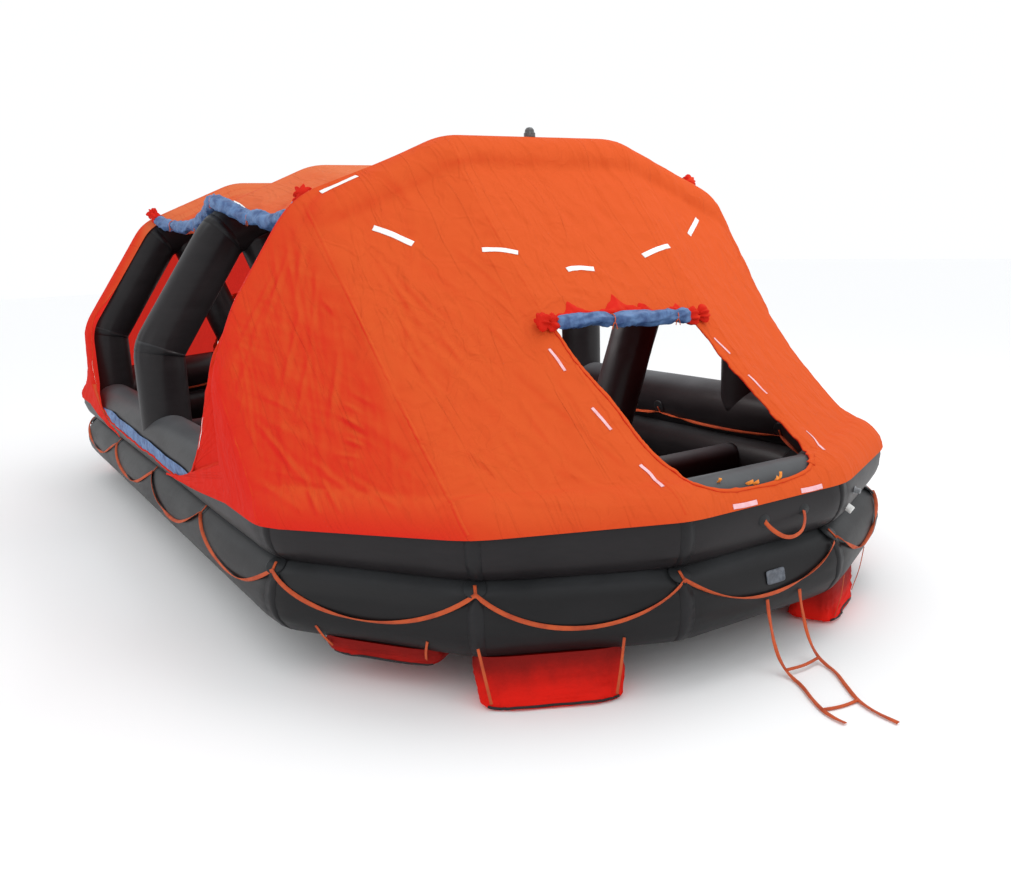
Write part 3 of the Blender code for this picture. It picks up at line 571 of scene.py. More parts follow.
def tube_reach(rise):
    """How far the tube's skin is from the middle of its ring, at a height above the ring's own."""
    return tube_radius * math.sqrt(max(1 - ((rise + tube_sink) / tube_tall) ** 2, 0.0))


# Arches, struts and thwarts
# Three inflated arches with glued corners carry the canopy. Under each a cross tube lies on the floor, and
# two slanting struts stand on it and hold the arch up. All are of the same charcoal fabric as the rings.

arch_radius = 0.225
arch_spacing = 2.60
arch_outer = ((2.62, 1.88), (1.86, 3.005), (0.786, 3.442))   # y, z of knee, shoulder and crown, outer side
half_arch = [np.array(p) for p in arch_outer]
arch_outline = np.array([(half_arch[0][0], upper_height)] + half_arch
                        + [(-y, z) for y, z in reversed(half_arch)] + [(-half_arch[0][0], upper_height)])
arch_corners = moved_in(arch_outline, arch_radius, False)
arch_line = bent(arch_corners, False)
arch_path = subdivided(arch_line, 0.05)
arch_normals = -left_of(arch_path, False)
along_raft = np.array((1.0, 0.0, 0.0))
thwart_radius = 0.16
thwart_half = 2.22
thwart_seams = (-1.1, 0.0, 1.1)
strut_radius = 0.195
strut_foot = (0.567, 0.60)                     # y and z of its middle line
strut_top = (0.567 + 2.30 * 0.37, 2.90)


def at_length(flat, x):
    """Points y, z of a section, all at one place along the raft."""
    return np.column_stack([np.full(len(flat), x), flat])


for place, middle, seed in (("far", -arch_spacing, 50), ("mid", 0.0, 60), ("near", arch_spacing, 70)):
    arch = Tube(at_length(arch_path, middle), at_length(arch_normals, 0.0), along_raft, arch_radius,
                at_length(arch_corners[1:-1], middle), seed)
    arch.covered("arch_" + place, charcoal)
    arch.taped("arch_" + place)

    thwart_low, thwart_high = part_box("thwart_" + place)
    height = (thwart_low[2] + thwart_high[2]) / 2
    ys = np.linspace(-thwart_half, thwart_half, 90)
    thwart = Tube(np.stack(np.broadcast_arrays(middle, ys, height), -1), upright, along_raft, thwart_radius,
                  np.array([(middle, y, height) for y in thwart_seams]), seed + 2)
    thwart.covered("thwart_" + place, charcoal)

    for side_name, side in (("left", -1), ("right", 1)):
        foot = np.array((middle, side * strut_foot[0], strut_foot[1]))
        top = np.array((middle, side * strut_top[0], strut_top[1]))
        centres = foot + (top - foot) * np.linspace(0, 0.96, 60)[:, None]
        strut = Tube(centres, np.cross(unit(top - foot), along_raft), along_raft, strut_radius,
                     centres[[0, 30, -1]], seed + 4 + side)
        strut.covered("strut_" + place + "_" + side_name, charcoal)


# Canopy humps
# Each end of the canopy is one sheet of coated orange cloth, sewn of panels with creases at the tubes'
# corners. It is glued over the end arch and down to the middle of the upper tube, and hangs slack between
# them. The entrance is cut into its front, the cloth's edge hemmed.

def smooth_step(values, low, high):
    share = np.clip((values - low) / (high - low), 0, 1)
    return share * share * (3 - 2 * share)


def folds(x, y, z, seed, octaves):
    """Noise with sharp crests and soft valleys, as pulled cloth has, from 0 to about 1."""
    total, size, strength = 0, 1.0, 0.55
    for octave in range(octaves):
        ridge = 1 - np.abs(noise_at(x * size, y * size, z * size, seed + octave * 7))
        total = total + strength * ridge ** 2
        size *= 2.1
        strength *= 0.5
    return total


def reach_along(line):
    """Each point's distance from the start, along the line."""
    return np.concatenate([[0], np.cumsum(np.linalg.norm(np.diff(line, axis=0), axis=1))])


def evenly(line, shares):
    """Points of the line at the given shares of its length."""
    reach = reach_along(line)
    where = np.asarray(shares) * reach[-1]
    return np.stack([np.interp(where, reach, line[:, axis]) for axis in range(3)], 1)


cloth_off = 0.010             # the cloth lies this far off a tube's surface


def canopy_finish(name, pale, creases=1.0, painted_shade_shift=0.0, lit_pale_colour=(0.66, 0.155, 0.050, 1), inner_glow=0.62):
    """Coated canopy cloth with painted light: orange where light falls on it, paler where it faces the light
    most, red where light only comes through it, and a painted red glow.
    """
    finish = Finish(name, Roughness=0.82, Specular_IOR_Level=0.05, Emission_Strength=0.5)
    facing = finish.add("NewGeometry", output="Normal")
    # painted light: lit says how far the cloth faces a light from the front, right and above; lit cloth is
    # painted orange, unlit cloth red
    lit = finish.add("VectorMath", {"operation": 'DOT_PRODUCT'}, {0: facing, 1: (0.62, 0.30, 0.72)}, "Value")
    behind = finish.add("NewGeometry", output="Backfacing")
    cloud = finish.noise(1.1, 4.0, 0.55)
    # painted shade: the cloth is painted redder the further it lies to the left, where that side is in shade
    painted_side_light = finish.add("SeparateXYZ", None, {"Vector": finish.place}, "Y")
    # painted shade: a positive shift paints the whole cloth as less lit, so redder
    share = (lit * 0.7 + painted_side_light * 0.10 + 0.35 + (cloud - 0.5) * 0.30 - painted_shade_shift).stepped(0.10, 0.97)
    outside = finish.between(share, (0.61, 0.020, 0.012, 1), (0.61, 0.086, 0.018, 1))
    # painted highlight: where the cloth faces the light most it turns to the paler lit colour, as far as pale
    # allows
    outside = finish.between((lit + (cloud - 0.5) * 0.3).stepped(0.40, 0.85) * pale, outside, lit_pale_colour)
    # painted light through the cloth: its inner side is painted deep red, and the emission makes the cloth
    # glow red, most on its inner side, though it is no lamp
    colour = finish.between(behind, outside, (0.55, 0.020, 0.012, 1))
    inner_red = (inner_glow, inner_glow * 0.04, inner_glow * 0.027, 1)
    glow = finish.between(behind, (0.090, 0.005, 0.001, 1), inner_red)
    # packed flat for years, the cloth keeps straight creases of two sizes, and it is pulled into thin folds
    cut = finish.add("UVMap", {"uv_map": "cut"})
    pulled = finish.add("Mapping", None, {"Vector": cut, "Scale": (4.2, 0.75, 1.0), "Rotation": (0, 0, 0.16)})
    pull = finish.noise(1.0, 2.0, 0.5, pulled, 1.1)
    ridge = finish.add("Math", {"operation": 'ABSOLUTE'}, {0: pull - 0.5})
    patches = finish.noise(0.9, 3.0, 0.5).stepped(0.42, 0.62)
    warp = finish.add("TexNoise", None, {"Vector": finish.place, "Scale": 2.2, "Detail": 3.0}, "Color")
    warped = finish.add("VectorMath", {"operation": 'MULTIPLY_ADD'},
                        {0: warp, 1: (0.5, 0.5, 0.5), 2: finish.stretched((1.0, 1.2, 0.8), (0.2, 0.4, 0.3))})
    patterns = (('DISTANCE_TO_EDGE', 3.0), ('DISTANCE_TO_EDGE', 8.5), ('F1', 5.5))
    large, small, facets = (finish.add("TexVoronoi", {"feature": feature}, {"Vector": warped, "Scale": scale})
                            for feature, scale in patterns)
    turned = finish.stretched((1.0, 1.0, 1.0), (0.9, 0.1, 0.5))
    large_patches = finish.noise(0.7, 2.0, 0.5, turned).stepped(0.42, 0.58)
    height = ((0.06 - ridge).stepped(0.0, 0.06) * 0.34
              + (0.08 - large).stepped(0.0, 0.08) * large_patches * 0.28
              + (0.10 - small).stepped(0.0, 0.10) * patches * 0.16 + facets * 1.5)
    weave = finish.bump(finish.noise(90.0, 3.0, 0.6), 0.06, 0.001)
    creased = finish.bump(height, 0.80 * creases, 0.014, weave)
    return finish.feed(Base_Color=colour, Emission_Color=glow, Normal=creased)


# Copies of the one cloth with more or less painted light: the far hump and the roof paler where lit, the far
# hump's inner glow stronger and the hem's folds fainter
canopy_cloth = canopy_finish("orange_canopy_cloth", 0.08, inner_glow=0.40)
far_cloth = canopy_finish("orange_far_cloth", 0.8, lit_pale_colour=(0.64, 0.175, 0.070, 1), inner_glow=0.90)
roof_cloth = canopy_finish("orange_roof_cloth", 0.9, lit_pale_colour=(0.64, 0.175, 0.070, 1))
hem_cloth = canopy_finish("orange_hem", 0.0, 0.3)
# the gathered cloth: the canopy's cloth, painted less lit and so redder, as if in shade
gathered_cloth = canopy_finish("gathered_cloth_shaded_red", 0.0, 0.5, 0.75)


def pieces_of(line, closed):
    """A line as the starts and ends of its straight parts."""
    line = np.asarray(line, float)
    return (line, np.roll(line, -1, axis=0)) if closed else (line[:-1], line[1:])


upper_ring = pieces_of(at_height(ring_line, upper_height), True)


def arch_parts(middle):
    return pieces_of(at_length(arch_line, middle), False)


points_at_once = 8000
drape_passes = 3


def pushed_out(points, obstacles, off=cloth_off):
    """The points, those inside a tube or too near it moved out of it."""
    shape = points.shape
    points = points.reshape(-1, 3).copy()
    for (starts, ends), radius in obstacles:
        along = ends - starts
        reach = np.sum(along * along, axis=1)
        for first in range(0, len(points), points_at_once):
            part = points[first:first + points_at_once]
            share = np.einsum("ijk,jk->ij", part[:, None] - starts, along) / reach
            feet = starts + np.clip(share, 0, 1)[..., None] * along
            away = part[:, None] - feet
            distance = np.linalg.norm(away, axis=2)
            nearest = distance.argmin(axis=1)
            rows = np.arange(len(part))
            close = distance[rows, nearest] < radius + off
            foot = feet[rows, nearest]
            moved = foot + unit(away[rows, nearest]) * (radius + off)
            points[first:first + points_at_once] = np.where(close[:, None], moved, part)
    return points.reshape(shape)


def resampled(lines, shares):
    """Rows of lines (lines, points, 3), each with points at the shares of its length."""
    return np.stack([evenly(line, shares) for line in lines])


def draped(lines, obstacles, shares):
    """Lines of cloth drawn over the tubes in their way. Their ends stay."""
    even = np.linspace(0, 1, lines.shape[1])
    for _ in range(drape_passes):
        lines[:, 1:-1] = pushed_out(lines[:, 1:-1], obstacles)
        lines = resampled(lines, even)
    lines = resampled(lines, shares)
    lines[:, 1:-1] = pushed_out(lines[:, 1:-1], obstacles)
    return lines


def spread(stations, step_counts):
    """Stations joined by straight steps, as many between two of them as its count says."""
    result = [stations[:1]]
    for start, end, count in zip(stations, stations[1:], step_counts):
        result.append(start + (end - start) * (np.arange(1, count + 1) / count)[:, None])
    return np.concatenate(result)


def faced(grid, out):
    """The net's points, with the columns reversed if its faces would look away from a direction."""
    normals = np.cross(grid[:-1, 1:] - grid[:-1, :-1], grid[1:, :-1] - grid[:-1, :-1])
    return grid if normals.sum(axis=(0, 1)) @ np.asarray(out) > 0 else grid[:, ::-1]


def outer_normals(grid, centre):
    """The cloth's unit normals, on the side away from the centre."""
    down = np.gradient(grid, axis=0)
    across = np.gradient(grid, axis=1)
    normals = unit(np.cross(down, across))
    flip = np.sign(np.sum(normals * (grid - np.asarray(centre)), axis=2, keepdims=True))
    return normals * np.where(flip == 0, 1, flip)


def tree_of(grid):
    """A search tree of a net's surface."""
    rows, columns = grid.shape[:2]
    index = np.arange(rows * columns).reshape(rows, columns)
    quads = np.stack([index[:-1, :-1], index[:-1, 1:], index[1:, 1:], index[1:, :-1]], -1).reshape(-1, 4)
    return BVHTree.FromPolygons([Vector(p) for p in grid.reshape(-1, 3)], [tuple(q) for q in quads.tolist()])


def seen_at(tree, across, down):
    """The place on a surface that the camera sees at a pixel of the photograph."""
    place, normal, face, distance = tree.ray_cast(camera_place, picture_ray(across, down))
    return None if place is None else np.array(place)


# column counts from the foot to the knee, over the knee's corner, up the side, and so on to the crown
corner_steps = [1] * corner_parts
half_steps = [30] + corner_steps + [78] + corner_steps + [64] + corner_steps
hump_steps = half_steps + [66] + half_steps[::-1]
# the columns that run down over the tubes' corners, on one side and on the other
seam_columns = [column for corner in np.cumsum(hump_steps)[[3, 10, 17]].tolist()
                for column in (corner, sum(hump_steps) - corner)]
hump_rows = 162
hem_start = 2.70
arch_out = -left_of(arch_line, False)
leg_height = upper_height + tube_radius + 0.008
hump_obstacles = [(arch_parts(arch_spacing), arch_radius), (upper_ring, tube_radius)]
hem_rise = 0.065              # the hem's height above the upper tube's middle, at the end of the raft
left_bulge = 0.085            # how far the cloth stands off the arch below its left shoulder


def hump_net():
    """The near hump's smooth cloth: rows of points from over the arch to the hem, from right to left."""
    reach = arch_radius + cloth_off
    wraps = []
    for angle in np.radians(np.linspace(-45, 0, 7)):
        flat = arch_line + arch_out * reach * math.cos(angle)
        flat[[0, -1], 1] = leg_height
        line = spread(at_length(flat, arch_spacing + reach * math.sin(angle)), hump_steps)
        height = line[:, 2]
        bulge = (line[:, 1] < 0) * smooth_step(height, 1.85, 2.35) * smooth_step(3.35 - height, 0, 0.6)
        line[:, 1] -= bulge * left_bulge * 0.83
        line[:, 2] += bulge * left_bulge * 0.56
        wraps.append(line)
    rise = smooth_step(ring_line[20::-1, 0], 3.6, 5.0) * hem_rise
    reach = np.sqrt((tube_radius + cloth_off) ** 2 - rise ** 2)[:, None]
    flat = ring_line[20::-1] - left_of(ring_line, True)[20::-1] * reach
    hem = np.vstack([[(hem_start, outer_corners[0][1] + cloth_off, upper_height)],
                     at_height(flat, upper_height + rise)])
    hem = np.vstack([hem, hem[::-1] * (1, -1, 1)])
    ends = spread(hem, hump_steps)
    share = np.linspace(0, 1, 81)[None, :, None]
    start, end = wraps[-1][:, None], ends[:, None]
    side = (start[..., 1:2] + end[..., 1:2]) / (2 * arch_outer[0][0])
    lean = np.concatenate([np.full_like(side, -0.55), -0.35 * side, np.full_like(side, -0.35)], axis=2)
    slack = 1 + 0.35 * np.clip(start[..., 1:2] / 1.8, 0, 1)
    bow = np.sin(math.pi * share) * (0.40 + 1.1 * share) * 0.055 * slack
    length = np.linalg.norm(end - start, axis=2, keepdims=True)
    lines = start + (end - start) * share + lean * bow * length
    lines = draped(lines, hump_obstacles, np.linspace(0, 1, hump_rows))
    return np.concatenate([np.stack(wraps[:-1]), lines.transpose(1, 0, 2)])


def along_columns(grid):
    """Each point's distance from its column's start, and what is left to its end."""
    steps = np.linalg.norm(np.diff(grid, axis=0), axis=2)
    reach = np.vstack([np.zeros(grid.shape[1]), np.cumsum(steps, axis=0)])
    return reach, reach[-1] - reach


def flat_cut(grid):
    """Each point's place on the flat cloth: along the hem and down from the arch, in metres."""
    from_arch, from_hem = along_columns(grid)
    hem_reach = reach_along(grid[-1])
    return np.stack([np.broadcast_to(hem_reach, from_arch.shape), from_arch], -1)


# Creases seen in the photograph: the pixels of both ends, then height and half width in metres. A minus
# makes a valley.
seen_creases = (
    (336, 252, 352, 296, 0.012, 0.030), (352, 296, 371, 345, 0.014, 0.030),
    (371, 345, 390, 400, 0.010, 0.030), (377, 258, 421, 323, 0.008, 0.018),
    (404, 282, 453, 335, 0.007, 0.016), (392, 300, 430, 372, 0.007, 0.018),
    (430, 318, 470, 372, 0.006, 0.016), (380, 322, 402, 356, 0.008, 0.014),
    (410, 352, 446, 402, 0.006, 0.018), (468, 153, 509, 217, 0.009, 0.025),
    (480, 150, 530, 235, 0.007, 0.020), (520, 160, 560, 250, -0.007, 0.025),
    (450, 150, 480, 190, 0.006, 0.018), (585, 180, 600, 230, 0.007, 0.020),
    (560, 200, 575, 290, 0.006, 0.022), (305, 232, 296, 300, 0.007, 0.020),
    (318, 262, 312, 330, 0.006, 0.016), (290, 250, 262, 330, 0.007, 0.018),
    (276, 270, 238, 350, 0.008, 0.018), (268, 300, 236, 400, 0.006, 0.018),
    (300, 310, 280, 400, 0.007, 0.020), (322, 300, 340, 318, 0.007, 0.014),
    (338, 352, 330, 420, 0.008, 0.020), (310, 350, 296, 420, 0.006, 0.018),
    (341, 417, 362, 428, 0.012, 0.014), (345, 440, 363, 446, 0.012, 0.013),
    (343, 404, 358, 411, 0.008, 0.012), (350, 428, 366, 436, -0.008, 0.014),
    (337, 455, 360, 458, 0.008, 0.014), (350, 392, 372, 404, 0.006, 0.012),
    (418, 405, 434, 398, 0.010, 0.012), (416, 437, 440, 446, 0.012, 0.014),
    (425, 436, 452, 424, 0.010, 0.014), (408, 420, 424, 452, 0.008, 0.014),
    (398, 380, 420, 392, 0.008, 0.014), (432, 455, 462, 468, 0.007, 0.014),
    (441, 509, 480, 496, 0.014, 0.016), (452, 494, 490, 470, 0.008, 0.016),
    (470, 452, 500, 478, 0.006, 0.014), (257, 423, 301, 478, 0.010, 0.018),
    (312, 462, 355, 496, 0.009, 0.018), (300, 470, 318, 512, 0.010, 0.016),
    (322, 480, 340, 512, 0.008, 0.014), (240, 470, 300, 510, 0.007, 0.020),
    (350, 478, 396, 506, 0.008, 0.018), (262, 396, 296, 412, 0.006, 0.014),
    (234, 420, 240, 470, 0.006, 0.016), (215, 450, 228, 486, 0.006, 0.014),
    (520, 400, 560, 455, 0.006, 0.020), (500, 430, 530, 480, 0.005, 0.018),
    (560, 380, 596, 430, 0.005, 0.018), (560, 470, 640, 500, 0.006, 0.022),
    (505, 500, 600, 508, 0.008, 0.020), (600, 490, 690, 505, -0.006, 0.020),
    (540, 296, 585, 300, 0.009, 0.016), (556, 286, 610, 294, 0.008, 0.016),
    (590, 268, 640, 292, 0.007, 0.018), (725, 330, 742, 372, 0.006, 0.018),
    (745, 350, 790, 430, 0.007, 0.020), (720, 250, 735, 300, 0.006, 0.018))


def with_folds(grid, seed, creases):
    """The smooth cloth with its long slack folds, its fine pulls from the seams, and the creases given."""
    from_arch, from_hem = along_columns(grid)
    hem_reach = reach_along(grid[-1])
    place = np.broadcast_to(hem_reach, from_arch.shape)
    middle = hem_reach[-1] / 2
    normals = outer_normals(grid, (2.0, 0.0, 1.2))
    slope = np.clip((place - middle) / 1.6, -1, 1) * 0.35 + 0.25

    def field(x, y, z, octaves, offset):
        return folds(x, y, z, seed + offset, octaves) - 0.45

    wander = noise_at(place * 0.8, from_arch * 0.8, 0, seed + 90) * 0.25
    long_folds = field((place + slope * from_arch) * 3.2 + wander, from_arch * 0.35, 0, 3, 0)
    fan = field((place - slope * 0.8 * from_arch) * 6.5 + wander * 2, from_arch * 0.6, 9, 2, 20)
    crumple = field(place * 3.5 + wander, from_arch * 3.5, 4, 3, 40)
    crisp = field((place + slope * 1.3 * from_arch) * 8.0 + wander * 3, from_arch * 1.4, 7, 2, 50)
    crisp *= smooth_step(noise_at(place * 1.3, from_arch * 1.3, 0, seed + 95), -0.3, 0.5)
    hem_pulls = field(place * 7.0 + wander, from_hem * 2.2, 2, 2, 60)
    lift = long_folds * 0.014 + fan * 0.009 + crumple * 0.009 + crisp * 0.012
    lift *= smooth_step(from_hem, 0.10, 0.6)
    lift += hem_pulls * 0.010 * np.exp(-(from_hem / 0.45) ** 2) * smooth_step(from_hem, 0.10, 0.30)
    for column in seam_columns:
        gap = np.abs(place - place[:, column:column + 1]) * (0.3 + 0.7 * from_arch / 3.4)
        pulls = field(0, from_arch * 9.0 + gap * 6.0, column, 2, column)
        lift += pulls * 0.007 * np.exp(-(gap / 0.14) ** 2)
        lift += 0.006 * np.exp(-(gap / 0.035) ** 2)
    lift *= smooth_step(from_arch, 0.16, 0.50)
    if creases:
        tree = tree_of(grid)
        points = grid.reshape(-1, 3)
        extra = np.zeros(len(points))
        for across_1, down_1, across_2, down_2, height, half in creases:
            start, end = seen_at(tree, across_1, down_1), seen_at(tree, across_2, down_2)
            if start is None or end is None or np.linalg.norm(end - start) > 1.2:
                continue
            along = end - start
            share = np.clip((points - start) @ along / (along @ along), 0, 1)
            curve = np.sin(share * 7 + across_1) * half * 0.5
            away = points - start - share[:, None] * along
            distance = np.linalg.norm(away, axis=1) + curve * 0.3
            taper = np.sin(math.pi * np.clip(share, 0.06, 0.94)) ** 0.6
            profile = np.exp(-distance / half) - 0.25 * np.exp(-((distance - 1.9 * half) / half) ** 2)
            extra += height * 1.35 * taper * profile
        lift = lift + extra.reshape(lift.shape) * smooth_step(from_hem, 0.02, 0.08)
    return grid + normals * lift[..., None]


# The free edge of the cloth at the side opening, down the left side: from the arch to the tip on the tube
gore_edge = np.array(((2.434, -2.46, 2.20), (2.40, -2.535, 1.99), (2.34, -2.60, 1.74),
                      (2.26, -2.630, 1.52), (2.15, -2.645, 1.32), (2.03, -2.655, 1.18),
                      (1.84, -2.660, 1.05), (1.45, -2.660, 0.95), (1.00, -2.660, 0.885)))
gore_top = 2.30


def gore_net(grid, hand, seed):
    """The pointed corner of the cloth beside the arch's leg, from the sheet's edge to its own free edge."""
    columns = range(grid.shape[1] - 1, -1, -1) if hand > 0 else range(grid.shape[1])
    start = [grid[0, j] for j in columns if abs(grid[0, j, 1]) > 1.5 and grid[0, j, 1] * hand < 0
             and grid[0, j, 2] < gore_top]
    last = grid.shape[1] - 1 if hand > 0 else 0
    start = np.array(sorted(start, key=lambda p: -p[2]) + [p for p in grid[1:, last]])
    edge = rounded(np.vstack([start[:1], gore_edge[1:] * (1, hand, 1)]), 6)
    shares = np.linspace(0, 1, 60)
    inner, outer = evenly(start, shares), evenly(edge, shares)
    across = np.linspace(0, 1, 26)[:, None, None]
    corner = inner + (outer - inner) * across
    bulge = np.sin(math.pi * across[:, 0]) * 0.02
    corner[..., 1] -= hand * bulge
    ripple = folds(corner[..., 0] * 3 + corner[..., 2] * 5, corner[..., 2] * 1.5, 0, seed + 5, 2) - 0.45
    corner[..., 1] -= hand * ripple * 0.016 * np.sin(math.pi * across[..., 0] * 0.62) ** 2
    corner[1:] = pushed_out(corner[1:], hump_obstacles, cloth_off)
    return faced(corner, (0, -hand, 0))


# The entrance's edge, at pixels of the photograph: down its left side, along the sill and up its right side
entrance_seen = ((551, 325), (580, 366), (612, 402.4), (643, 443.3), (664, 464), (679, 475), (694, 484),
                 (717, 490), (737, 490), (760, 486), (782, 481), (804, 472), (811, 463), (808, 452),
                 (792, 433), (770, 410), (745, 382), (717, 349), (693, 318))


def inside_outline(points, outline):
    """True for each point that lies inside the closed outline."""
    result = np.zeros(len(points), bool)
    for (x1, y1), (x2, y2) in zip(outline, np.roll(outline, -1, axis=0)):
        crosses = (y1 > points[:, 1]) != (y2 > points[:, 1])
        with np.errstate(divide="ignore", invalid="ignore"):
            edge = (x2 - x1) * (points[:, 1] - y1) / (y2 - y1) + x1
        result ^= crosses & (points[:, 0] < edge)
    return result


def canopy_end(way, seed, creases):
    """One hump: its cloth with the entrance cut out, and the entrance's edge as points with normals."""
    side = np.array((way, way, 1.0))
    grid = with_folds(hump_net(), seed, creases)
    grid[7:-1] = pushed_out(grid[7:-1], hump_obstacles, 0.007)
    tree = tree_of(grid)
    corners = np.array([seen_at(tree, *pixel)[[1, 0]] for pixel in entrance_seen])
    outline = rounded(np.column_stack([corners, np.zeros(len(corners))]), 8)[:, :2]

    def on_cloth(y, x):
        place, normal, face, distance = tree.ray_cast(Vector((x, y, 5.0)), Vector((0, 0, -1)))
        return np.array(place), np.array(normal if normal.z > 0 else -normal)

    cells = (grid[:-1, :-1] + grid[1:, :-1] + grid[:-1, 1:] + grid[1:, 1:]) / 4
    flat = cells.reshape(-1, 3)
    gone = inside_outline(flat[:, [1, 0]], outline) & (flat[:, 0] > 3.5) & (np.abs(flat[:, 1]) < 0.9)
    gone = gone.reshape(cells.shape[:2])
    touched = np.zeros(grid.shape[:2], int)
    for i, j in itertools.product((0, 1), repeat=2):
        touched[i:gone.shape[0] + i, j:gone.shape[1] + j] += gone
    closed = subdivided(np.vstack([outline, outline[:1]]), 0.004)
    for i, j in zip(*np.where((touched > 0) & (touched < 4))):
        nearest = closed[np.argmin(np.sum((closed - grid[i, j, [1, 0]]) ** 2, axis=1))]
        grid[i, j] = on_cloth(*nearest)[0]
    edge = [on_cloth(*p) for p in outline]
    name = "canopy_" + ("near" if way > 0 else "far") + "_sheet"
    corners = [gore_net(grid, hand, seed) * side for hand in (1, -1)]
    sheet = one_of([net(name, grid * side, gone=gone, cut=flat_cut(grid))]
                   + [net(name + "_gore", c, cut=flat_cut(c)) for c in corners], name)
    seams = [grid[:, column] * side for column in seam_columns]
    points = np.array([e[0] for e in edge]) * side
    normals = np.array([e[1] for e in edge]) * side
    return {"sheet": sheet, "tree": tree_of(grid * side), "edge": points, "normals": normals, "seams": seams,
            "gores": corners}


ends = {}
for end_name, way, seed, creases in (("near", 1.0, 7, seen_creases), ("far", -1.0, 107, ())):
    ends[end_name] = canopy_end(way, seed, creases)
    sheet = ends[end_name]["sheet"]
    fitted(sheet, "canopy_cloth", canopy_cloth if way > 0 else far_cloth,
           *["canopy_" + end_name + "_" + part for part in ("left", "centre", "right")])


# Canopy roof
# One sheet from hump to hump over the middle arch, open along both sides. It is glued to the arches' tops
# and sags between them, and its edges are hemmed round the rolled side curtains.

roof_first = 14               # the arch line's points between which the roof lies: the tops of both shoulders
roof_steps = [22] + corner_steps + [42] + corner_steps + [22]
roof_rows = 66


def roof_net(way, seed):
    """Half the roof, from the middle arch to the hump, as rows along the raft."""
    chosen = slice(roof_first, len(arch_line) - roof_first)

    def over(angle, middle):
        reach = arch_radius + cloth_off - 0.002
        flat = (arch_line + arch_out * reach * math.cos(angle))[chosen]
        return spread(at_length(flat, middle + reach * math.sin(angle)), roof_steps)

    far = [over(angle, 0.0) for angle in np.radians((0, 7, 14, 22.5))]
    near = [over(angle, arch_spacing) for angle in np.radians((-60, -52, -45, -36))]
    start, end = far[-1][:, None], near[0][:, None]
    share = np.linspace(0, 1, 61)[None, :, None]
    out = start * (0, 1, 1) - (0, 0, upper_height)
    edge_sag = 0.065 * np.abs(start[..., 1:2] / 1.8) ** 4
    lines = start + (end - start) * share - unit(out) * 0.13 * np.sin(math.pi * share)
    lines -= upright * edge_sag * (1 - np.abs(2 * share - 1) ** 2.5)
    obstacles = [(arch_parts(0.0), arch_radius), (arch_parts(arch_spacing), arch_radius)]
    lines = draped(lines, obstacles, np.linspace(0, 1, roof_rows)).transpose(1, 0, 2)
    grid = np.concatenate([np.stack(far[:-1]), lines, np.stack(near[1:])])
    x, y, z = np.moveaxis(grid, -1, 0)
    lift = (folds(x * way, y * 2.6 * way, 0, seed, 3) - 0.45) * 0.022
    lift += (folds(x * 4.5 + y * 1.5, y * 3.5 * way, 0, seed + 30, 2) - 0.45) * 0.014
    lift *= smooth_step(x, 0.2, 0.5) * smooth_step(2.55 - x, 0.15, 0.45)
    lifted = grid + outer_normals(grid, (1.3, 0, 1.5)) * lift[..., None]
    return pushed_out(lifted, obstacles, cloth_off - 0.004) * (way, way, 1)


roof_near = roof_net(1.0, 211)
roof_far = roof_net(-1.0, 311)
roof_grid = np.concatenate([roof_far[::-1, ::-1], roof_near[1:]])
roof = net("canopy_roof_sheet", roof_grid, cut=flat_cut(roof_grid))
fitted(roof, "canopy_cloth", roof_cloth, "roof_near", "roof_far")
roof_tree = tree_of(roof_grid)


# Hems and seams of the canopy
# The free edges of the orange cloth are turned over and stitched, and ruffle a little. Strips of the same
# cloth are glued over the seams at which its panels are sewn together.

def tape_on(name, line, normals, width, thickness, ruffle, seed):
    """A thin ruffled strip of cloth along a line of a surface, with its edges close to it."""
    reach = reach_along(line) * 22
    half = width / 2 * (1 + ruffle * noise_at(reach, 0, 0, seed))
    rise = thickness + ruffle * 0.014 * np.abs(noise_at(reach * 1.3 + 5, 5, 5, seed))
    sunk = np.full(len(line), -0.001)
    section = np.stack([(sunk, -half), (rise, -half * 0.86), (rise * 1.15, half * 0), (rise, half * 0.86),
                        (sunk, half)]).transpose(2, 0, 1)
    return swept(name, line, section, normals)


def nearest_on(tree, point):
    """The nearest place on a surface, and the surface's normal there."""
    place, normal, face, distance = tree.find_nearest(Vector(point))
    return np.array(place), np.array(normal)


def laid_strip(name, line, tree, width, lifts):
    """A strip laid along a line on a surface, as high above it, from edge to edge, as the lifts say."""
    points, normals = (np.array(part) for part in zip(*(nearest_on(tree, p) for p in line)))
    normals *= np.where(np.sum(normals * (points - (0, 0, 1.3)), axis=1) < 0, -1, 1)[:, None]
    across = unit(np.cross(normals, unit(np.gradient(points, axis=0))))
    rows = []
    for offset, lift in zip(np.linspace(-0.5, 0.5, len(lifts)), lifts):
        row = []
        for p, a, n in zip(points, across, normals):
            place, normal = nearest_on(tree, p + a * offset * width)
            row.append(place + normal * np.sign(normal @ n) * lift)
        rows.append(row)
    return net(name, np.array(rows))


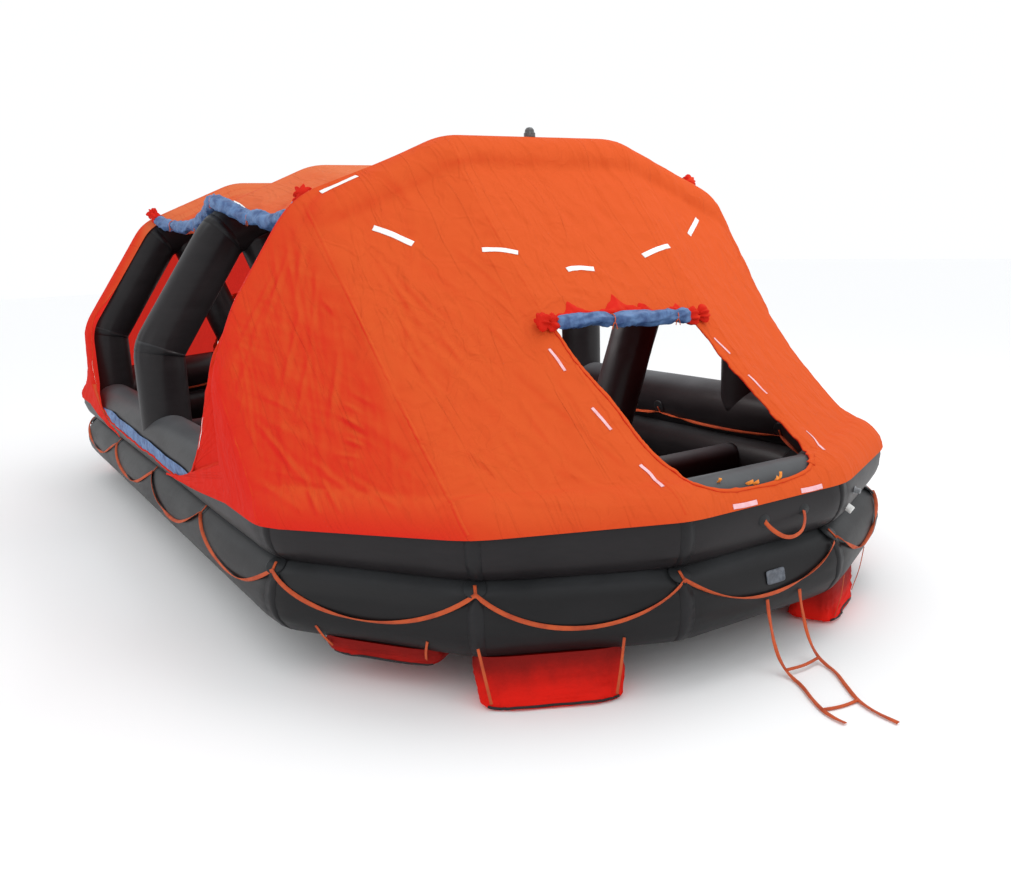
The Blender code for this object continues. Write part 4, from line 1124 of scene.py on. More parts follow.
on_canopy = {"near": [], "far": []}
seam_lifts = (0.0003, 0.0016, 0.0020, 0.0016, 0.0003)
for end_name, end in ends.items():
    edge, normals = end["edge"], end["normals"]
    edge_line = subdivided(edge, 0.012)
    edge_normals = np.array([normals[np.argmin(np.linalg.norm(edge - p, axis=1))] for p in edge_line])
    left_part = len(edge_line) * 5 // 8
    hems = [tape_on("hem", edge_line[:left_part + 1], edge_normals[:left_part + 1], 0.026, 0.004, 0.30, 3),
            tape_on("hem", edge_line[left_part:], edge_normals[left_part:], 0.044, 0.006, 0.45, 5)]
    for corner in end["gores"]:
        free_edge = subdivided(corner[-1], 0.015)
        hems.append(tape_on("hem", free_edge, (0, np.sign(corner[-1][0, 1]), 0), 0.018, 0.003, 0.15, 8))
    hem = one_of(hems, "entrance_hem_" + end_name)
    on_canopy[end_name].append(fitted(hem, "canopy_cloth", hem_cloth))
    strips = [laid_strip("seam", subdivided(line[10:-2], 0.012), end["tree"], 0.030, seam_lifts)
              for line in end["seams"]]
    strips = one_of(strips, "canopy_seams_" + end_name)
    on_canopy[end_name].append(fitted(strips, "canopy_cloth", canopy_cloth))


# Reflective tapes
# Short white strips of retroreflective tape glued round the canopy. Each is laid where the photograph has
# it, and again at the far end, turned by half a turn.

def applied(thing, kind, **settings):
    """Adds a modifier and applies it at once."""
    bpy.ops.object.select_all(action='DESELECT')
    bpy.context.view_layer.objects.active = thing
    thing.select_set(True)
    modifier = thing.modifiers.new(kind.lower(), kind)
    for name, value in settings.items():
        setattr(modifier, name, value)
    bpy.ops.object.modifier_apply(modifier=modifier.name)
    return thing


# painted glow: the white tape gives off a faint light of its own, standing for the light it reflects back
white_finish = Finish("reflective_tape", Roughness=0.35, Emission_Strength=0.10)
tape_cells = white_finish.add("TexVoronoi", {"feature": 'F1'}, {"Vector": white_finish.place, "Scale": 220.0})
tape_soil = white_finish.noise(14.0, 4.0, 0.6)
white_tape = white_finish.feed(
    Base_Color=white_finish.between(tape_soil.stepped(0.35, 0.8), (0.86, 0.86, 0.85, 1),
                                    (0.70, 0.68, 0.66, 1)),
    Emission_Color=white_finish.between(tape_soil, (1, 1, 1, 1), (0.9, 0.9, 0.9, 1)),
    Normal=white_finish.bump(tape_cells, 0.15, 0.0008))
# the pink tape has the same painted glow, fainter
pink_finish = Finish("reflective_tape_pink", Roughness=0.40, Emission_Strength=0.04)
pink_lines = pink_finish.add("TexVoronoi", {"feature": 'F1'}, {"Vector": pink_finish.place, "Scale": 160.0})
pink_soil = pink_finish.noise(20.0, 3.0, 0.6)
pink_tape = pink_finish.feed(
    Base_Color=pink_finish.between(pink_soil.stepped(0.3, 0.8), (0.84, 0.50, 0.55, 1),
                                   (0.78, 0.36, 0.38, 1)),
    Emission_Color=pink_finish.between(pink_soil, (1, 0.7, 0.7, 1), (0.9, 0.5, 0.5, 1)),
    Normal=pink_finish.bump(pink_lines, 0.15, 0.0008))

raft_ends = (("near", 1.0), ("far", -1.0))
tape_thickness = 0.0016
# pixels of the photograph along each tape's middle, and its width in metres
white_tapes = (((373, 228), (393, 235), (413, 244), 0.046), ((482, 250), (500, 250), (518, 253), 0.038),
               ((567, 270), (580, 268), (594, 269), 0.042), ((643, 256), (656, 250), (669, 246), 0.042),
               ((689, 235), (693, 227), (697, 219), 0.042), ((321, 193), (337, 185), (357, 176), 0.050),
               ((232, 202), (238, 205), (243, 209), 0.050))
pink_tapes = (((549, 349), (557, 359), (565, 371), 0.019), ((592, 408), (601, 418), (611, 430), 0.020),
              ((640, 465), (651, 475), (663, 487), 0.021), ((714, 338), (722, 346), (730, 354), 0.016),
              ((748, 375), (758, 385), (767, 394), 0.015), ((806, 431), (815, 440), (824, 450), 0.020),
              ((733, 507), (745, 505), (757, 502), 0.030), ((801, 491), (811, 489), (822, 486), 0.030))


def laid_tape(pixels, width, end_name, way):
    """A tape laid on the near hump or the roof along pixels of the photograph, or turned to the far end."""
    places = [seen_at(ends["near"]["tree"], *pixel) for pixel in pixels]
    target = ends[end_name]["tree"]
    if places[0] is None:
        places = [seen_at(roof_tree, *pixel) for pixel in pixels]
        target = roof_tree
    strip = laid_strip("tape", rounded(places, 8) * (way, way, 1.0), target, width, [0.0035] * 7)
    return applied(strip, 'SOLIDIFY', thickness=tape_thickness, offset=-1.0)


def free_edge_tape(gore):
    """A narrow tape near the free edge of a corner of the cloth."""
    chosen = (gore[-1, :, 2] > 1.24) & (gore[-1, :, 2] < 1.50)
    strip = gore[-5:-2, chosen] + (0, 0.004 * np.sign(gore[-1, 0, 1]), 0)
    return applied(net("tape", strip), 'SOLIDIFY', thickness=tape_thickness, offset=-1.0)


for end_name, way in raft_ends:
    for colour, table, finish in (("white", white_tapes, white_tape), ("pink", pink_tapes, pink_tape)):
        strips = [laid_tape(row[:-1], row[-1], end_name, way) for row in table]
        if colour == "white":
            strips += [free_edge_tape(gore) for gore in ends[end_name]["gores"]]
        tapes = one_of(strips, "reflective_" + colour + "_" + end_name)
        on_canopy[end_name].append(fitted(tapes, "canopy_cloth", finish))


# A hump as cut: straight panels from the arch's corners to the tube's, the cloth over the arch and the two
# pointed corners come to 20.2 square metres, less 1.9 for the entrance. The roof is cut as a rectangle.
for end_name, end in ends.items():
    "arch_" + end_name + "_skin"


# Rolled curtains
# Blue curtain cloth, rolled up over the openings and tied with thin cords, so that it bulges between them.
# Its ends are gathered into the canopy's cloth, painted red there as if in shade.

# the curtain cloth glows faintly though it is no lamp, a painted glow; its tone mixes a random cloud with the
# bump's own crumple noise, so the bump's hollows are painted darker and its crests lighter, as painted shade
# and highlight
blue_finish = Finish("blue_curtain_cloth", Roughness=0.55, Emission_Strength=0.03)
blue_cloud = blue_finish.noise(9.0, 4.0, 0.6)
blue_crush = blue_finish.noise(13.0, 4.0, 0.6, twist=1.0)
blue_weave = blue_finish.bump(blue_finish.noise(300.0, 2.0, 0.5), 0.08, 0.0006)
blue_tone_and_fold_light = (blue_cloud * 0.6 + blue_crush * 0.4).stepped(0.34, 0.66)
blue_colour = blue_finish.between(blue_tone_and_fold_light, (0.018, 0.054, 0.170, 1), (0.095, 0.195, 0.39, 1))
blue_cloth = blue_finish.feed(
    Base_Color=blue_colour,
    Emission_Color=blue_finish.between(blue_tone_and_fold_light, (0.1, 0.2, 0.6, 1), (0.2, 0.4, 0.9, 1)),
    Normal=blue_finish.bump(blue_crush, 0.22, 0.006, blue_weave))
dark_cord = Finish("tie_cord", Roughness=0.7)
cord_twist = dark_cord.noise(400.0, 2.0, 0.5)
tie_cord = dark_cord.feed(Base_Color=dark_cord.between(cord_twist.stepped(0.3, 0.7), (0.50, 0.05, 0.015, 1),
                                                       (0.70, 0.14, 0.03, 1)),
                          Normal=dark_cord.bump(cord_twist, 0.3, 0.001))


def around(turn, size):
    """Sections (out, across) of a rolled piece, from its size at each point and angle."""
    return np.stack([np.cos(turn) * size, np.sin(turn) * size], -1)


def cloth_roll(name, line, radius, ties, seed, crush):
    """Cloth rolled up along a line: slack between its ties, with folds that run round it aslant."""
    line = subdivided(line, 0.012)
    reach = reach_along(line)
    turn = full_turn(30)
    line = line + np.column_stack([reach * 0, noise_at(reach * 4.0, 0, 0, seed + 1) * 0.007,
                                   noise_at(reach * 4.0, 0, 0, seed + 2) * 0.010])
    plain = radius * (1 + 0.13 * noise_at(reach * 4.0 * 0.9, 0, 0, seed + 3))
    for tie in ties:
        plain = plain * (1 - 0.30 * np.exp(-((reach - tie) / 0.035) ** 2))
    ends_in = np.minimum(reach, reach[-1] - reach)
    plain = plain * (0.45 + 0.55 * np.clip(ends_in / 0.035, 0, 1) ** 0.5)
    along = reach[:, None]
    wave = folds(turn * 0.8 + along * 6, along * 1.2 + np.sin(turn) * 0.8, np.cos(turn) * 0.8, seed, 2) - 0.4
    flap = 0.010 * np.exp(-((turn - 4.1) / 0.16) ** 2)
    size = plain[:, None] + wave * crush + flap * (ends_in > 0.03)[:, None]
    return swept(name, line, around(turn, size), upright), line, reach


tie_radius = 0.004


def tie_loop(line, reach, at, radius):
    """A cord tied round a roll, and its two short ends."""
    i = int(np.argmin(np.abs(reach - at)))
    i = min(max(i, 1), len(line) - 2)
    way = unit(line[i + 1] - line[i - 1])
    side = unit(np.cross(way, upright))
    top = np.cross(side, way)
    turn = full_turn(24)
    ring = line[i] + np.cos(turn)[:, None] * side * radius + np.sin(turn)[:, None] * top * radius
    parts = [swept("tie", ring, circle(tie_radius, 8), way, closed=True)]
    outer = -side if np.dot(side, line[i] - np.array((0, 0, 1.5))) < 0 else side
    knot_at = line[i] + outer * radius * 0.9 - top * radius * 0.3
    for spread_way in (-1, 1):
        tail = rounded([knot_at, knot_at + way * spread_way * 0.012 + (0, 0, -0.018),
                        knot_at + way * spread_way * 0.020 + (0, 0, -0.050)], 5)
        parts.append(swept("tie", tail, circle(tie_radius * 0.8, 8)))
    return parts


def gathered_end(name, place, way, size, seed):
    """Cloth gathered by a cord into a rosette."""
    way = unit(way)
    line = np.asarray(place) + np.linspace(-0.6, 1.0, 26)[:, None] * way * size
    reach = np.linspace(0, 1, 26)
    turn = full_turn(40)
    neck = 0.55 - 0.33 * np.exp(-((reach - 0.55) / 0.10) ** 2) + 0.25 * smooth_step(reach, 0.65, 1.0)
    along = reach[:, None]
    wave = noise_at(np.cos(turn) * 2.4 + along * 0.8, np.sin(turn) * 2.4, along * 1.2, seed)
    star = np.cos(turn * 7 + wave * 2.0) * 0.16 * (0.4 + along)
    closing = (0.25 + 0.75 * np.sin(math.pi * (along * 0.86 + 0.12))) ** 0.6
    shape = size * (neck[:, None] + wave * 0.18 + star) * closing
    return swept(name, line, around(turn, shape))


roll_radius = 0.049
# share of the entrance's width, height and half width of each peak of the gathered cloth
gather_peaks = ((0.17, 0.07, 0.060), (0.49, 0.16, 0.100), (0.64, 0.06, 0.080), (0.93, 0.05, 0.040))
for end_name, way in raft_ends:
    edge, normals = ends[end_name]["edge"], ends[end_name]["normals"]
    first, last = edge[0], edge[-1]
    out = unit(normals[0] + normals[-1])
    line = first + (last - first) * np.linspace(0.02, 0.94, 40)[:, None]
    bow = np.sin(np.linspace(0, math.pi, 40))[:, None]
    line = line + out * (roll_radius + 0.004) + bow * np.array((0.0, 0.0, 0.012)) + np.array((0, 0, -0.026))
    long = np.linalg.norm(last - first)
    ties = (0.36 * long, 0.82 * long)
    roll, centre, reach = cloth_roll("entrance_roll_" + end_name + "_look", line, roll_radius, ties,
                                     81 if way > 0 else 91, crush=0.034)
    fitted(roll, "curtain_cloth", blue_cloth, "entrance_roll_" + end_name)
    loops = [part for tie in ties for part in tie_loop(centre, reach, tie, roll_radius * 0.80)]
    fitted(one_of(loops, "entrance_ties_" + end_name), "webbing", tie_cord)
    along = unit(last - first)
    low = out * 0.035 + (0, 0, -0.006)
    rosettes = [gathered_end("g", first + low - along * 0.025, -along + out * 0.3, 0.100, 5),
                gathered_end("g", last + low - along * 0.010, along + out * 0.25, 0.105, 6)]
    rosettes = fitted(one_of(rosettes, "entrance_rosettes_" + end_name), "canopy_cloth", gathered_cloth)
    # the cloth above the roll, drawn together by the ties
    columns, rows_up = 160, 12
    share = np.linspace(-0.02, 1.02, columns)
    tree = ends[end_name]["tree"]
    gather = np.zeros((rows_up, columns, 3))
    upward = unit(np.cross(along, out))
    upward = upward if upward[2] > 0 else -upward
    ragged = noise_at(share * 24, 0, way, 78)
    tall = 0.060 + 0.030 * ragged
    for peak, height, half in gather_peaks:
        tall = tall + height * np.clip(1 - np.abs(share - peak) / half, 0, 1)
    scallop = np.abs(np.sin(share * math.pi * 5.3 + 0.6)) ** 0.7
    at_ends = np.clip(6.0 * np.minimum(share + 0.02, 1.02 - share), 0.0, 1.0)
    for i in range(rows_up):
        rise = i / (rows_up - 1)
        base = first + (last - first) * share[:, None] + upward * (0.030 + rise * tall[:, None])
        wave = noise_at(share * 26, rise * 2.5, way * 3, 77)
        swell = math.sin(math.pi * (0.30 + 0.70 * rise)) ** 1.2
        puff = np.maximum((0.016 + 0.030 * scallop + 0.016 * wave) * swell * at_ends, 0.0)
        droop = (0.012 * wave - 0.015 * (1 - scallop)) * (1 - rise) * at_ends
        for j, spot in enumerate(base):
            place, normal = nearest_on(tree, spot)
            gather[i, j] = place + normal * np.sign(normal @ out) * (0.002 + puff[j]) + upward * droop[j]
    ruffle = net("entrance_gathers_" + end_name, faced(gather, out))
    fitted(ruffle, "canopy_cloth", gathered_cloth)
    "canopy_" + end_name + "_sheet"

side_roll_radius = 0.062
raft_sides = (("right", 1), ("left", -1))
for side_name, hand in raft_sides:
    edge = roof_grid[:, 0 if hand > 0 else -1]
    edge = edge[(edge[:, 0] * -hand > -2.44) & (edge[:, 0] * -hand < 2.13)]
    out = unit((0, hand * 0.60, 0.80))
    line = evenly(edge, np.linspace(0, 1, 90)) + out * (side_roll_radius + 0.006)
    dip = np.abs(np.sin(np.linspace(0, math.pi * 8, 90)))[:, None]
    forward = line[:, 0] * -hand
    raised = (0.050 * smooth_step(forward, 1.7, 2.2)
              + 0.030 * smooth_step(-forward, 0.1, 0.5) * smooth_step(2.4 + forward, 0, 0.5))
    line = line + (dip * -0.012 + raised[:, None]) * np.array((0, 0, 1.0))
    long = float(np.linalg.norm(np.diff(line, axis=0), axis=1).sum())
    ties = tuple(long * share for share in (0.11, 0.31, 0.54, 0.71, 0.91))
    roll, centre, reach = cloth_roll("side_roll_" + side_name + "_look", line, side_roll_radius, ties,
                                     140 + hand, crush=0.032)
    fitted(roll, "curtain_cloth", blue_cloth, "side_roll_" + side_name)
    loops = [part for tie in ties for part in tie_loop(centre, reach, tie, side_roll_radius * 0.80)]
    fitted(one_of(loops, "side_ties_" + side_name), "webbing", tie_cord)
    rosettes = [gathered_end("g", centre[i] + (0.0, hand * 0.02, 0.015),
                             (np.sign(centre[i][0]) * 0.8, hand * 0.2, 0.5), 0.105, 15 + i) for i in (0, -1)]
    rosettes = fitted(one_of(rosettes, "side_rosettes_" + side_name), "canopy_cloth", gathered_cloth)


# Side flaps
# The curtain's let-down lower edge, a strip of blue cloth laid on the upper tube, and the orange cord sewn
# to it.

flap_end = 1.90
for side_name, hand in raft_sides:
    xs = np.linspace(-flap_end, flap_end, 300)
    angles = np.radians(np.linspace(13, -15, 16))
    wave = folds(xs[:, None] * 9 + angles * 3, angles * 4 + xs[:, None] * 1.5, hand, 171, 3)
    lift = 0.006 + wave * 0.014 * np.linspace(0.6, 1.0, 16)
    wander = noise_at(xs * 3, 0, hand, 177)[:, None] * 0.05
    tucked = smooth_step(np.abs(xs), 1.35, 1.85)[:, None]
    turn = (angles + wander) * (1 - tucked) + tucked * np.radians(5 + np.linspace(3, -3, 16))
    turn = turn + np.radians(7.0) * (xs * hand / flap_end)[:, None]
    lift = lift * (1 - 0.7 * tucked)
    reach = tube_radius + lift
    rim_lift = 0.004 * (1 - tucked[:, 0])
    across = outer_corners[0][1] - tube_radius + reach * np.cos(turn)
    grid = np.stack(np.broadcast_arrays(xs[:, None], hand * across, upper_height + reach * np.sin(turn)), -1)
    flap = net("side_flap_" + side_name + "_look", grid)
    fitted(flap, "curtain_cloth", blue_cloth, "side_flap_" + side_name)
    rim = grid[:, -1] + np.column_stack([xs * 0, hand * rim_lift, noise_at(xs * 11, 0, 0, 178) * 0.009])
    rim_cord = swept("side_flap_" + side_name + "_cord", rim, circle(0.0085, 8))
    fitted(rim_cord, "webbing", hem_cloth)


# Lifelines and handles
# Flat orange webbing along the outside of the lower tube and the inside of the upper one, hung from loops
# that are welded on with patches, and a handle of the same webbing at each end.

line_span = 1.7
line_width = 0.028
patch_finish = tube_finish("patch_rubber", (0.010, 0.011, 0.012, 1), (0.020, 0.021, 0.023, 1), 0.2)


def lifeline(name, tube_z, height, sag, hand, node):
    """Webbing hung in bows along the ring's inner (-1) or outer (1) side, with its loops and patches."""
    points, facings, loops = [], [], []
    gap = 0.010
    for i in range(len(hull)):
        start, end = hull[i], hull[(i + 1) % len(hull)]
        spans = max(1, round(np.linalg.norm(end - start) / line_span))
        way = unit(end - start)
        out = np.array((way[1], -way[0]))
        for span in range(spans):
            for share in np.arange(30) / 30:
                droop = 4 * share * (1 - share)
                z = height - sag * droop
                stand = hand * (tube_reach(z - tube_z) + gap)
                outline = moved_in(hull, tube_radius - stand)
                flat = outline[i] + (outline[(i + 1) % len(hull)] - outline[i]) * (span + share) / spans
                points.append((*flat, z))
                facings.append((*(out * stand), z - tube_z))
                if share == 0:
                    loops.append((len(points) - 1, (*flat, z), (*(out * stand), z - tube_z)))
    points, facings = np.array(points), unit(np.array(facings))
    reach = reach_along(points)
    turn = noise_at(reach * 2.4, 0, 0, 33) * 1.6
    way = unit(np.gradient(points, axis=0))
    twisted = facings * np.cos(turn)[:, None] + np.cross(way, facings) * np.sin(turn)[:, None]
    line = swept(name, points, strap(0.0045, line_width), twisted)
    fitted(line, "webbing", webbing, node)
    holders = []
    patches = []
    for index, place, facing in loops:
        facing = unit(facing)
        ahead_way = unit(np.cross(upright, facing))
        rise = np.cross(facing, ahead_way)
        stem = np.array([place - facing * 0.004 + rise * share * 0.065 - facing * share * 0.003
                         for share in np.linspace(-0.25, 1, 8)])
        holders.append(swept("loop", stem, strap(0.005, 0.020), facing))
        rings = []
        for radius, lift in ((0.070, -0.016), (0.070, -0.0075), (0.064, -0.0055), (0.0, -0.0055)):
            up = 0.05 + np.sin(full_turn(20))[:, None] * radius
            along = np.cos(full_turn(20))[:, None] * radius
            rings.append(place + rise * up + ahead_way * along
                         + facing * (lift - up ** 2 / (2 * tube_radius)))
        patches.append(net("patch", np.array(rings), closed_columns=True))
    fitted(one_of(holders, name + "_loops"), "webbing", webbing)
    fitted(one_of(patches, name + "_patches"), "tube_rubber", patch_finish)


lifeline("lifeline_outer_look", lower_height, lower_height + 0.165, 0.22, 1, "lifeline_outer")
lifeline("lifeline_inner_look", upper_height, upper_height - 0.14, 0.05, -1, "lifeline_inner")

handle_route = np.array(((5.134, -0.078, 0.962), (5.176, -0.052, 0.912), (5.207, 0.015, 0.862),
                         (5.214, 0.095, 0.846), (5.206, 0.180, 0.866), (5.176, 0.240, 0.915),
                         (5.136, 0.274, 0.966)))
handle_width = 0.027
handle_patch_x = 5.1455
for end_name, way in raft_ends:
    side = np.array((way, way, 1.0))
    path = rounded(handle_route, 8) * side
    facing = np.array([(way, 0, -0.5 + i / len(path) * 0.7) for i in range(len(path))])
    handle = swept("handle_" + end_name + "_look", path, strap(0.005, handle_width), facing)
    fitted(handle, "webbing", webbing, "handle_" + end_name)
    patches = []
    for foot in (handle_route[0], handle_route[-1]):
        rings = [[(handle_patch_x - lift, foot[1] + math.cos(a) * radius,
                   foot[2] + math.sin(a) * radius * 0.8) for a in full_turn(20)]
                 for radius, lift in ((0.048, 0.010), (0.045, 0.0055), (0.0, 0.0035))]
        patches.append(net("patch", np.array(rings) * side, closed_columns=True))
    fitted(one_of(patches, "handle_" + end_name + "_patches"), "tube_rubber", patch_finish)


# Water pockets
# Bags of red cloth hung under the slanting sides. On dry ground they sag out over the floor, creased, with
# a dark weighted hem, and two webbing straps run from each up to the tube.

# The pocket cloth has a faint painted glow in its own colour.
pocket_finish = Finish("red_pocket_cloth", Roughness=0.75, Specular_IOR_Level=0.10, Emission_Strength=0.05)
pocket_height = pocket_finish.add("SeparateXYZ", None, {"Vector": pocket_finish.place}, "Z")
pocket_cloud = pocket_finish.noise(6.0, 4.0, 0.6)
pocket_crush = pocket_finish.noise(13.0, 5.0, 0.6, twist=1.4)
# painted shade: the cloth is painted darker towards its top, where the tube shades it, and lighter low down
pocket_lit = ((pocket_height * -3.6 + 1.0) + (pocket_cloud - 0.5) * 0.5).stepped(0.0, 0.9)
pocket_colour = pocket_finish.between(pocket_lit, (0.20, 0.008, 0.006, 1), (0.70, 0.012, 0.006, 1))
pocket_weave = pocket_finish.bump(pocket_finish.noise(260.0, 2.0, 0.5), 0.08, 0.0008)
pocket_cloth = pocket_finish.feed(
    Base_Color=pocket_colour, Emission_Color=pocket_colour,
    Normal=pocket_finish.bump(pocket_crush, 0.45, 0.012, pocket_weave))

# name near and far, the side of the ring, the shift along it, half the width, the shift out, the lowest point
pocket_rows = (
    ("near_right", "far_left", 0, -0.15, 0.34, -0.02, 0.012),
    ("side_near_right", "side_far_left", 1, 0.0, 0.36, -0.10, 0.06),
    ("near_left", "far_right", 10, -0.19, 0.44, 0.10, 0.010),
    ("side_near_left", "side_far_right", 9, 0.0, 0.40, -0.04, 0.175))
ring_middle = moved_in(hull, tube_radius)
mouth_height = 0.292
bag_depth = 0.145             # half the bag's width from the tube outward
side_part = 0.78              # the share of the net that is the bag's side, the rest being its bottom


def rounded_square(turn, power):
    """Points at the angles on a square with rounded corners: the smaller the power, the squarer."""
    return [np.sign(part) * np.abs(part) ** power for part in (np.cos(turn), np.sin(turn))]


def pocket_bag(name, middle, way, out, seed, half_width, reach_out, lowest):
    """A hanging bag: its mouth under the tube, its bottom spread on the floor."""
    rows, columns = 34, 96
    turn = full_turn(columns)
    shape_x, shape_y = rounded_square(turn, 0.45)
    grid = np.zeros((rows, columns, 3))
    for i in range(rows):
        share = i / (rows - 1)
        side = min(share / side_part, 1.0)
        under = max(share - side_part, 0.0) / (1 - side_part)
        height = mouth_height + (lowest - mouth_height) * side ** 0.9
        half = half_width + 0.025 * math.sin(math.pi * side) - 0.03 * side
        depth = bag_depth + 0.02 * side
        shift = reach_out * side ** 1.5
        shrink = 1.0 - 0.9 * under ** 1.2
        wave = folds(share * 2.2 + 3, np.cos(turn) * 2.6 + 3, np.sin(turn) * 2.6 + 3, seed, 3) - 0.45
        swag = folds(shape_x * 1.1, share * 7.0, shape_y * 0.5, seed + 9, 2) - 0.45
        deep = side * (1 - 0.6 * under)
        along = shape_x * half * shrink * (1 + 0.10 * wave * deep)
        outward_by = shape_y * depth * shrink * (1 + 0.22 * wave * deep) + shift + swag * 0.045 * deep
        z = height + (0.030 * wave + 0.020 * swag) * (share > 0.05) * deep
        z = np.maximum(z + 0.012 * np.abs(wave) * under, 0.006)
        grid[i] = middle + way * along[:, None] + out * outward_by[:, None]
        grid[i, :, 2] = z
    bag = net(name, grid, closed_columns=True)
    hem_row = grid[int(rows * 0.76)]
    return bag, hem_row


for near_name, far_name, index, shift_along, half_width, reach_out, lowest in pocket_rows:
    start, end = ring_middle[index], ring_middle[(index + 1) % len(ring_middle)]
    for side_name, turn in ((near_name, 1.0), (far_name, -1.0)):
        a, b = start * turn, end * turn
        middle = np.array((*((a + b) / 2), 0.0))
        way = unit((*(b - a), 0.0))
        out = np.array((way[1], -way[0], 0.0))
        if out @ middle < 0:
            out = -out
        middle = middle + way * shift_along
        seed = 400 + index * 7 + (3 if turn < 0 else 0)
        name = "pocket_" + side_name
        bag, hem_row = pocket_bag(name + "_look", middle, way, out, seed, half_width, reach_out, lowest)
        fitted(bag, "pocket_cloth", pocket_cloth, name)
        weight = swept(name + "_weight", hem_row[8:40] + (0, 0, 0.004), circle(0.008, 8))
        fitted(weight, "tube_rubber", patch_finish)
        straps = []
        for hand in (-1, 1):
            top = middle + way * hand * (half_width - 0.01) + out * (tube_reach(-0.15) + 0.002)
            top[2] = lower_height - 0.15
            low = middle + way * hand * (half_width - 0.07) + out * (0.165 + reach_out)
            low[2] = lowest + 0.05
            knee = (top + low) / 2 + out * 0.01
            straps.append(swept("strap", rounded([top, knee, low], 8), strap(0.004, 0.018), out))
        straps = one_of(straps, name + "_straps")
        fitted(straps, "webbing", webbing)
        # as cut: a band round the mouth, as tall as the bag, and a bottom
        band, tall = 4 * (half_width + bag_depth), mouth_height - lowest
        round(tall + 2 * bag_depth, 2)
        round(band * tall + 4 * half_width * bag_depth, 2)


# Floor sheet
# The inflated floor between the tubes: black coated cloth, quilted by its inner threads, with a flat margin
# that is glued to the lower tube.

floor_black = Finish("black_floor_cloth", Roughness=0.6)
floor_wear = floor_black.noise(2.4, 5.0, 0.6)
floor_cloth = floor_black.feed(
    Base_Color=floor_black.between(floor_wear.stepped(0.4, 0.7), (0.014, 0.014, 0.016, 1),
                                   (0.035, 0.035, 0.037, 1)),
    Normal=floor_black.bump(floor_black.noise(14.0, 4.0, 0.6), 0.3, 0.01))

floor_low, floor_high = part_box("floor")
shares_in = np.concatenate([np.linspace(0.02, 0.90, 60), np.linspace(0.91, 1.0, 8)])
rim = subdivided(at_height(moved_in(ring_line, 0.10), 0.0), 0.06, True)
margin_height = 0.3445
quilt_pitch = 0.14
quilt_depth = 0.007
top = rim[None] * shares_in[:, None, None]
quilt = np.abs(np.sin(top[..., 1] * math.pi / quilt_pitch)) ** 0.5 * quilt_depth
inner = smooth_step(0.985 - shares_in, 0.0, 0.10)[:, None]
top[..., 2] = margin_height + inner * (floor_high[2] - margin_height - quilt_depth + quilt)
bottom = top[::-6].copy()
bottom[..., 2] = floor_low[2] + 0.001 + quilt[::-6] * 0.5
floor_skin = net("floor_skin", np.concatenate([top, bottom]), closed_columns=True, caps=True)
fitted(floor_skin, "floor_rubber", floor_cloth, "floor")


# Fittings
# Small parts on the tubes: turned plastic valves, the lamp on the arch, the plate on the near end, webbing
# tabs on the sill, and the gas cylinders with their bands under the floor.

def plain_finish(name, dark, light, rough, scale, strength=0.15, metal=0.0):
    """A plain hard finish with worn patches and a fine grain."""
    finish = Finish(name, Metallic=metal, Emission_Strength=0.0)
    wear = finish.noise(scale, 4.0, 0.6)
    grain = finish.noise(scale * 14, 3.0, 0.6)
    fade = wear.stepped(0.35, 0.7)
    return finish.feed(Base_Color=finish.between(fade, dark, light), Roughness=rough + fade * 0.15,
                       Emission_Color=finish.between(fade, light, light),
                       Normal=finish.bump(grain, strength, 0.001))


def surface_of(thing):
    """A search tree of a piece's surface."""
    body = bmesh.new()
    body.from_mesh(thing.data)
    tree = BVHTree.FromBMesh(body)
    body.free()
    return tree


valve_grey = plain_finish("valve_grey_plastic", (0.16, 0.17, 0.18, 1), (0.26, 0.27, 0.28, 1), 0.42, 30.0)
valve_white = plain_finish("valve_white_plastic", (0.62, 0.62, 0.60, 1), (0.80, 0.80, 0.78, 1), 0.40, 30.0)
lamp_grey = plain_finish("lamp_plastic", (0.060, 0.060, 0.062, 1), (0.12, 0.12, 0.12, 1), 0.30, 40.0)
plate_grey = plain_finish("plate_grey", (0.055, 0.062, 0.078, 1), (0.13, 0.145, 0.17, 1), 0.45, 26.0, 0.3)
cylinder_paint = plain_finish("cylinder_paint", (0.16, 0.165, 0.17, 1), (0.24, 0.245, 0.25, 1), 0.38, 9.0,
                              0.2, 0.35)
band_webbing = plain_finish("band_webbing", (0.016, 0.016, 0.017, 1), (0.035, 0.035, 0.037, 1), 0.8, 60.0,
                            0.5)
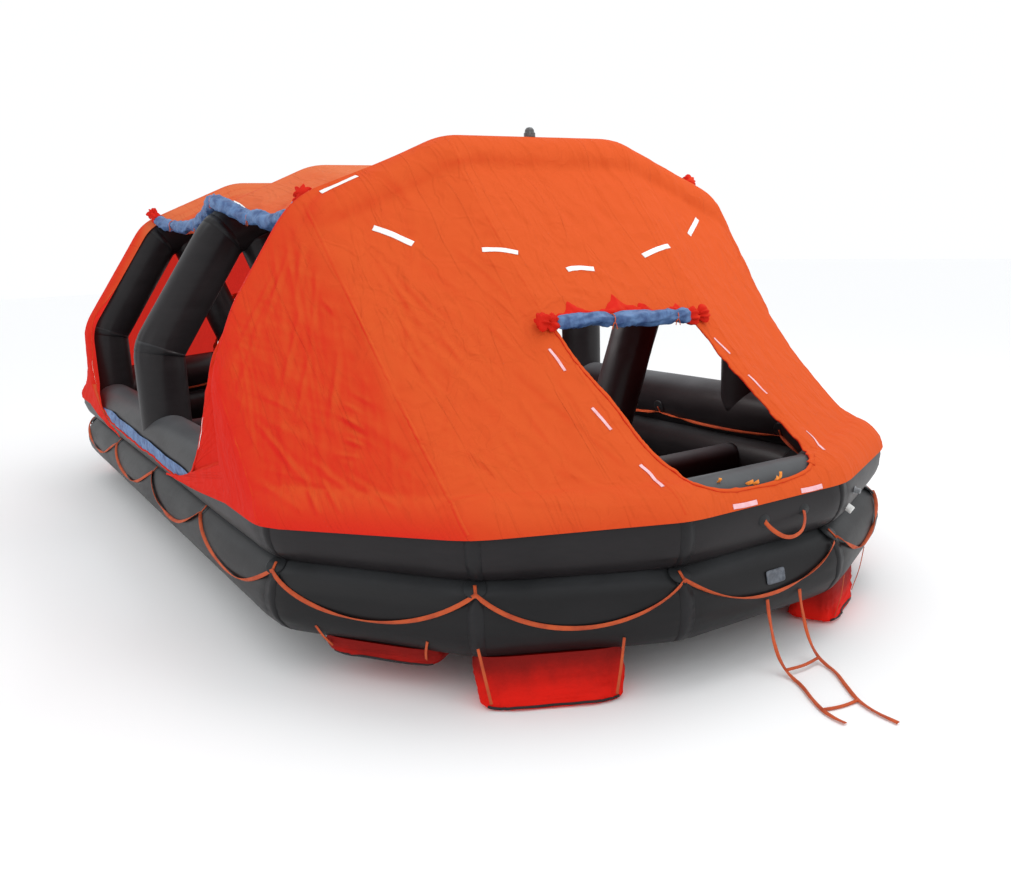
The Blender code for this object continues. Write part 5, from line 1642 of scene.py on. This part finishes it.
tab_webbing = plain_finish("tab_webbing", (0.80, 0.22, 0.02, 1), (0.90, 0.36, 0.04, 1), 0.7, 60.0, 0.4)
node_finishes = (("inflation_valve", valve_grey), ("relief_valve", valve_white), ("canopy_light", lamp_grey),
                 ("gas_cylinder", cylinder_paint), ("cylinder_band", band_webbing))
for node_name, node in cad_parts.items():
    for start, finish in node_finishes:
        if node_name.startswith(start):
            finished(node, finish)

plate_tilt = math.pi / 16
plate_out = np.array((math.cos(plate_tilt), 0, math.sin(plate_tilt)))
plate_up = np.array((-math.sin(plate_tilt), 0, math.cos(plate_tilt)))
plate_side = np.array((0, 1.0, 0))
plate_middle = np.sum(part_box("end_plate"), axis=0) / 2
turns = full_turn(64)
rings = []
for inset_by, lift in ((0.0, -0.003), (0.0, 0.0012), (0.002, 0.0028), (0.008, 0.0030), (0.010, 0.0020),
                       (0.078, 0.0020)):
    half_wide, half_high = max(0.080 - inset_by, 0.001), max(0.044 - inset_by, 0.001)
    across, up = rounded_square(turns, 0.28)
    rings.append(plate_middle + plate_out * lift + (across * half_wide)[:, None] * plate_side
                 + (up * half_high)[:, None] * plate_up)
plate = net("end_plate_look", np.array(rings), closed_columns=True, caps=True)
fitted(plate, "plate_plastic", plate_grey, "end_plate")

# pixels of the photograph at each tab's foot, its length and its lean
tab_rows = ((718, 482, 0.026, 0.2), (746, 484, 0.050, 1.35), (753, 484, 0.040, 1.25), (778, 481, 0.062, 0.12),
            (774, 482, 0.040, 0.5))
tabs = []
upper_skin = surface_of(bpy.data.objects["upper_tube_skin"])
for across, down, tall, lean in tab_rows:
    foot = seen_at(upper_skin, across, down)
    tip = foot + np.array((0.012, math.sin(lean) * tall, math.cos(lean) * tall))
    middle = (foot + tip) / 2 + np.array((0.010, 0, 0.004))
    line = rounded([foot - (0, 0, 0.004), middle, tip], 6)
    tabs.append(swept("tab", line, strap(0.004, 0.024), (1.0, 0, 0.2)))
fitted(one_of(tabs, "sill_tabs"), "webbing", tab_webbing)
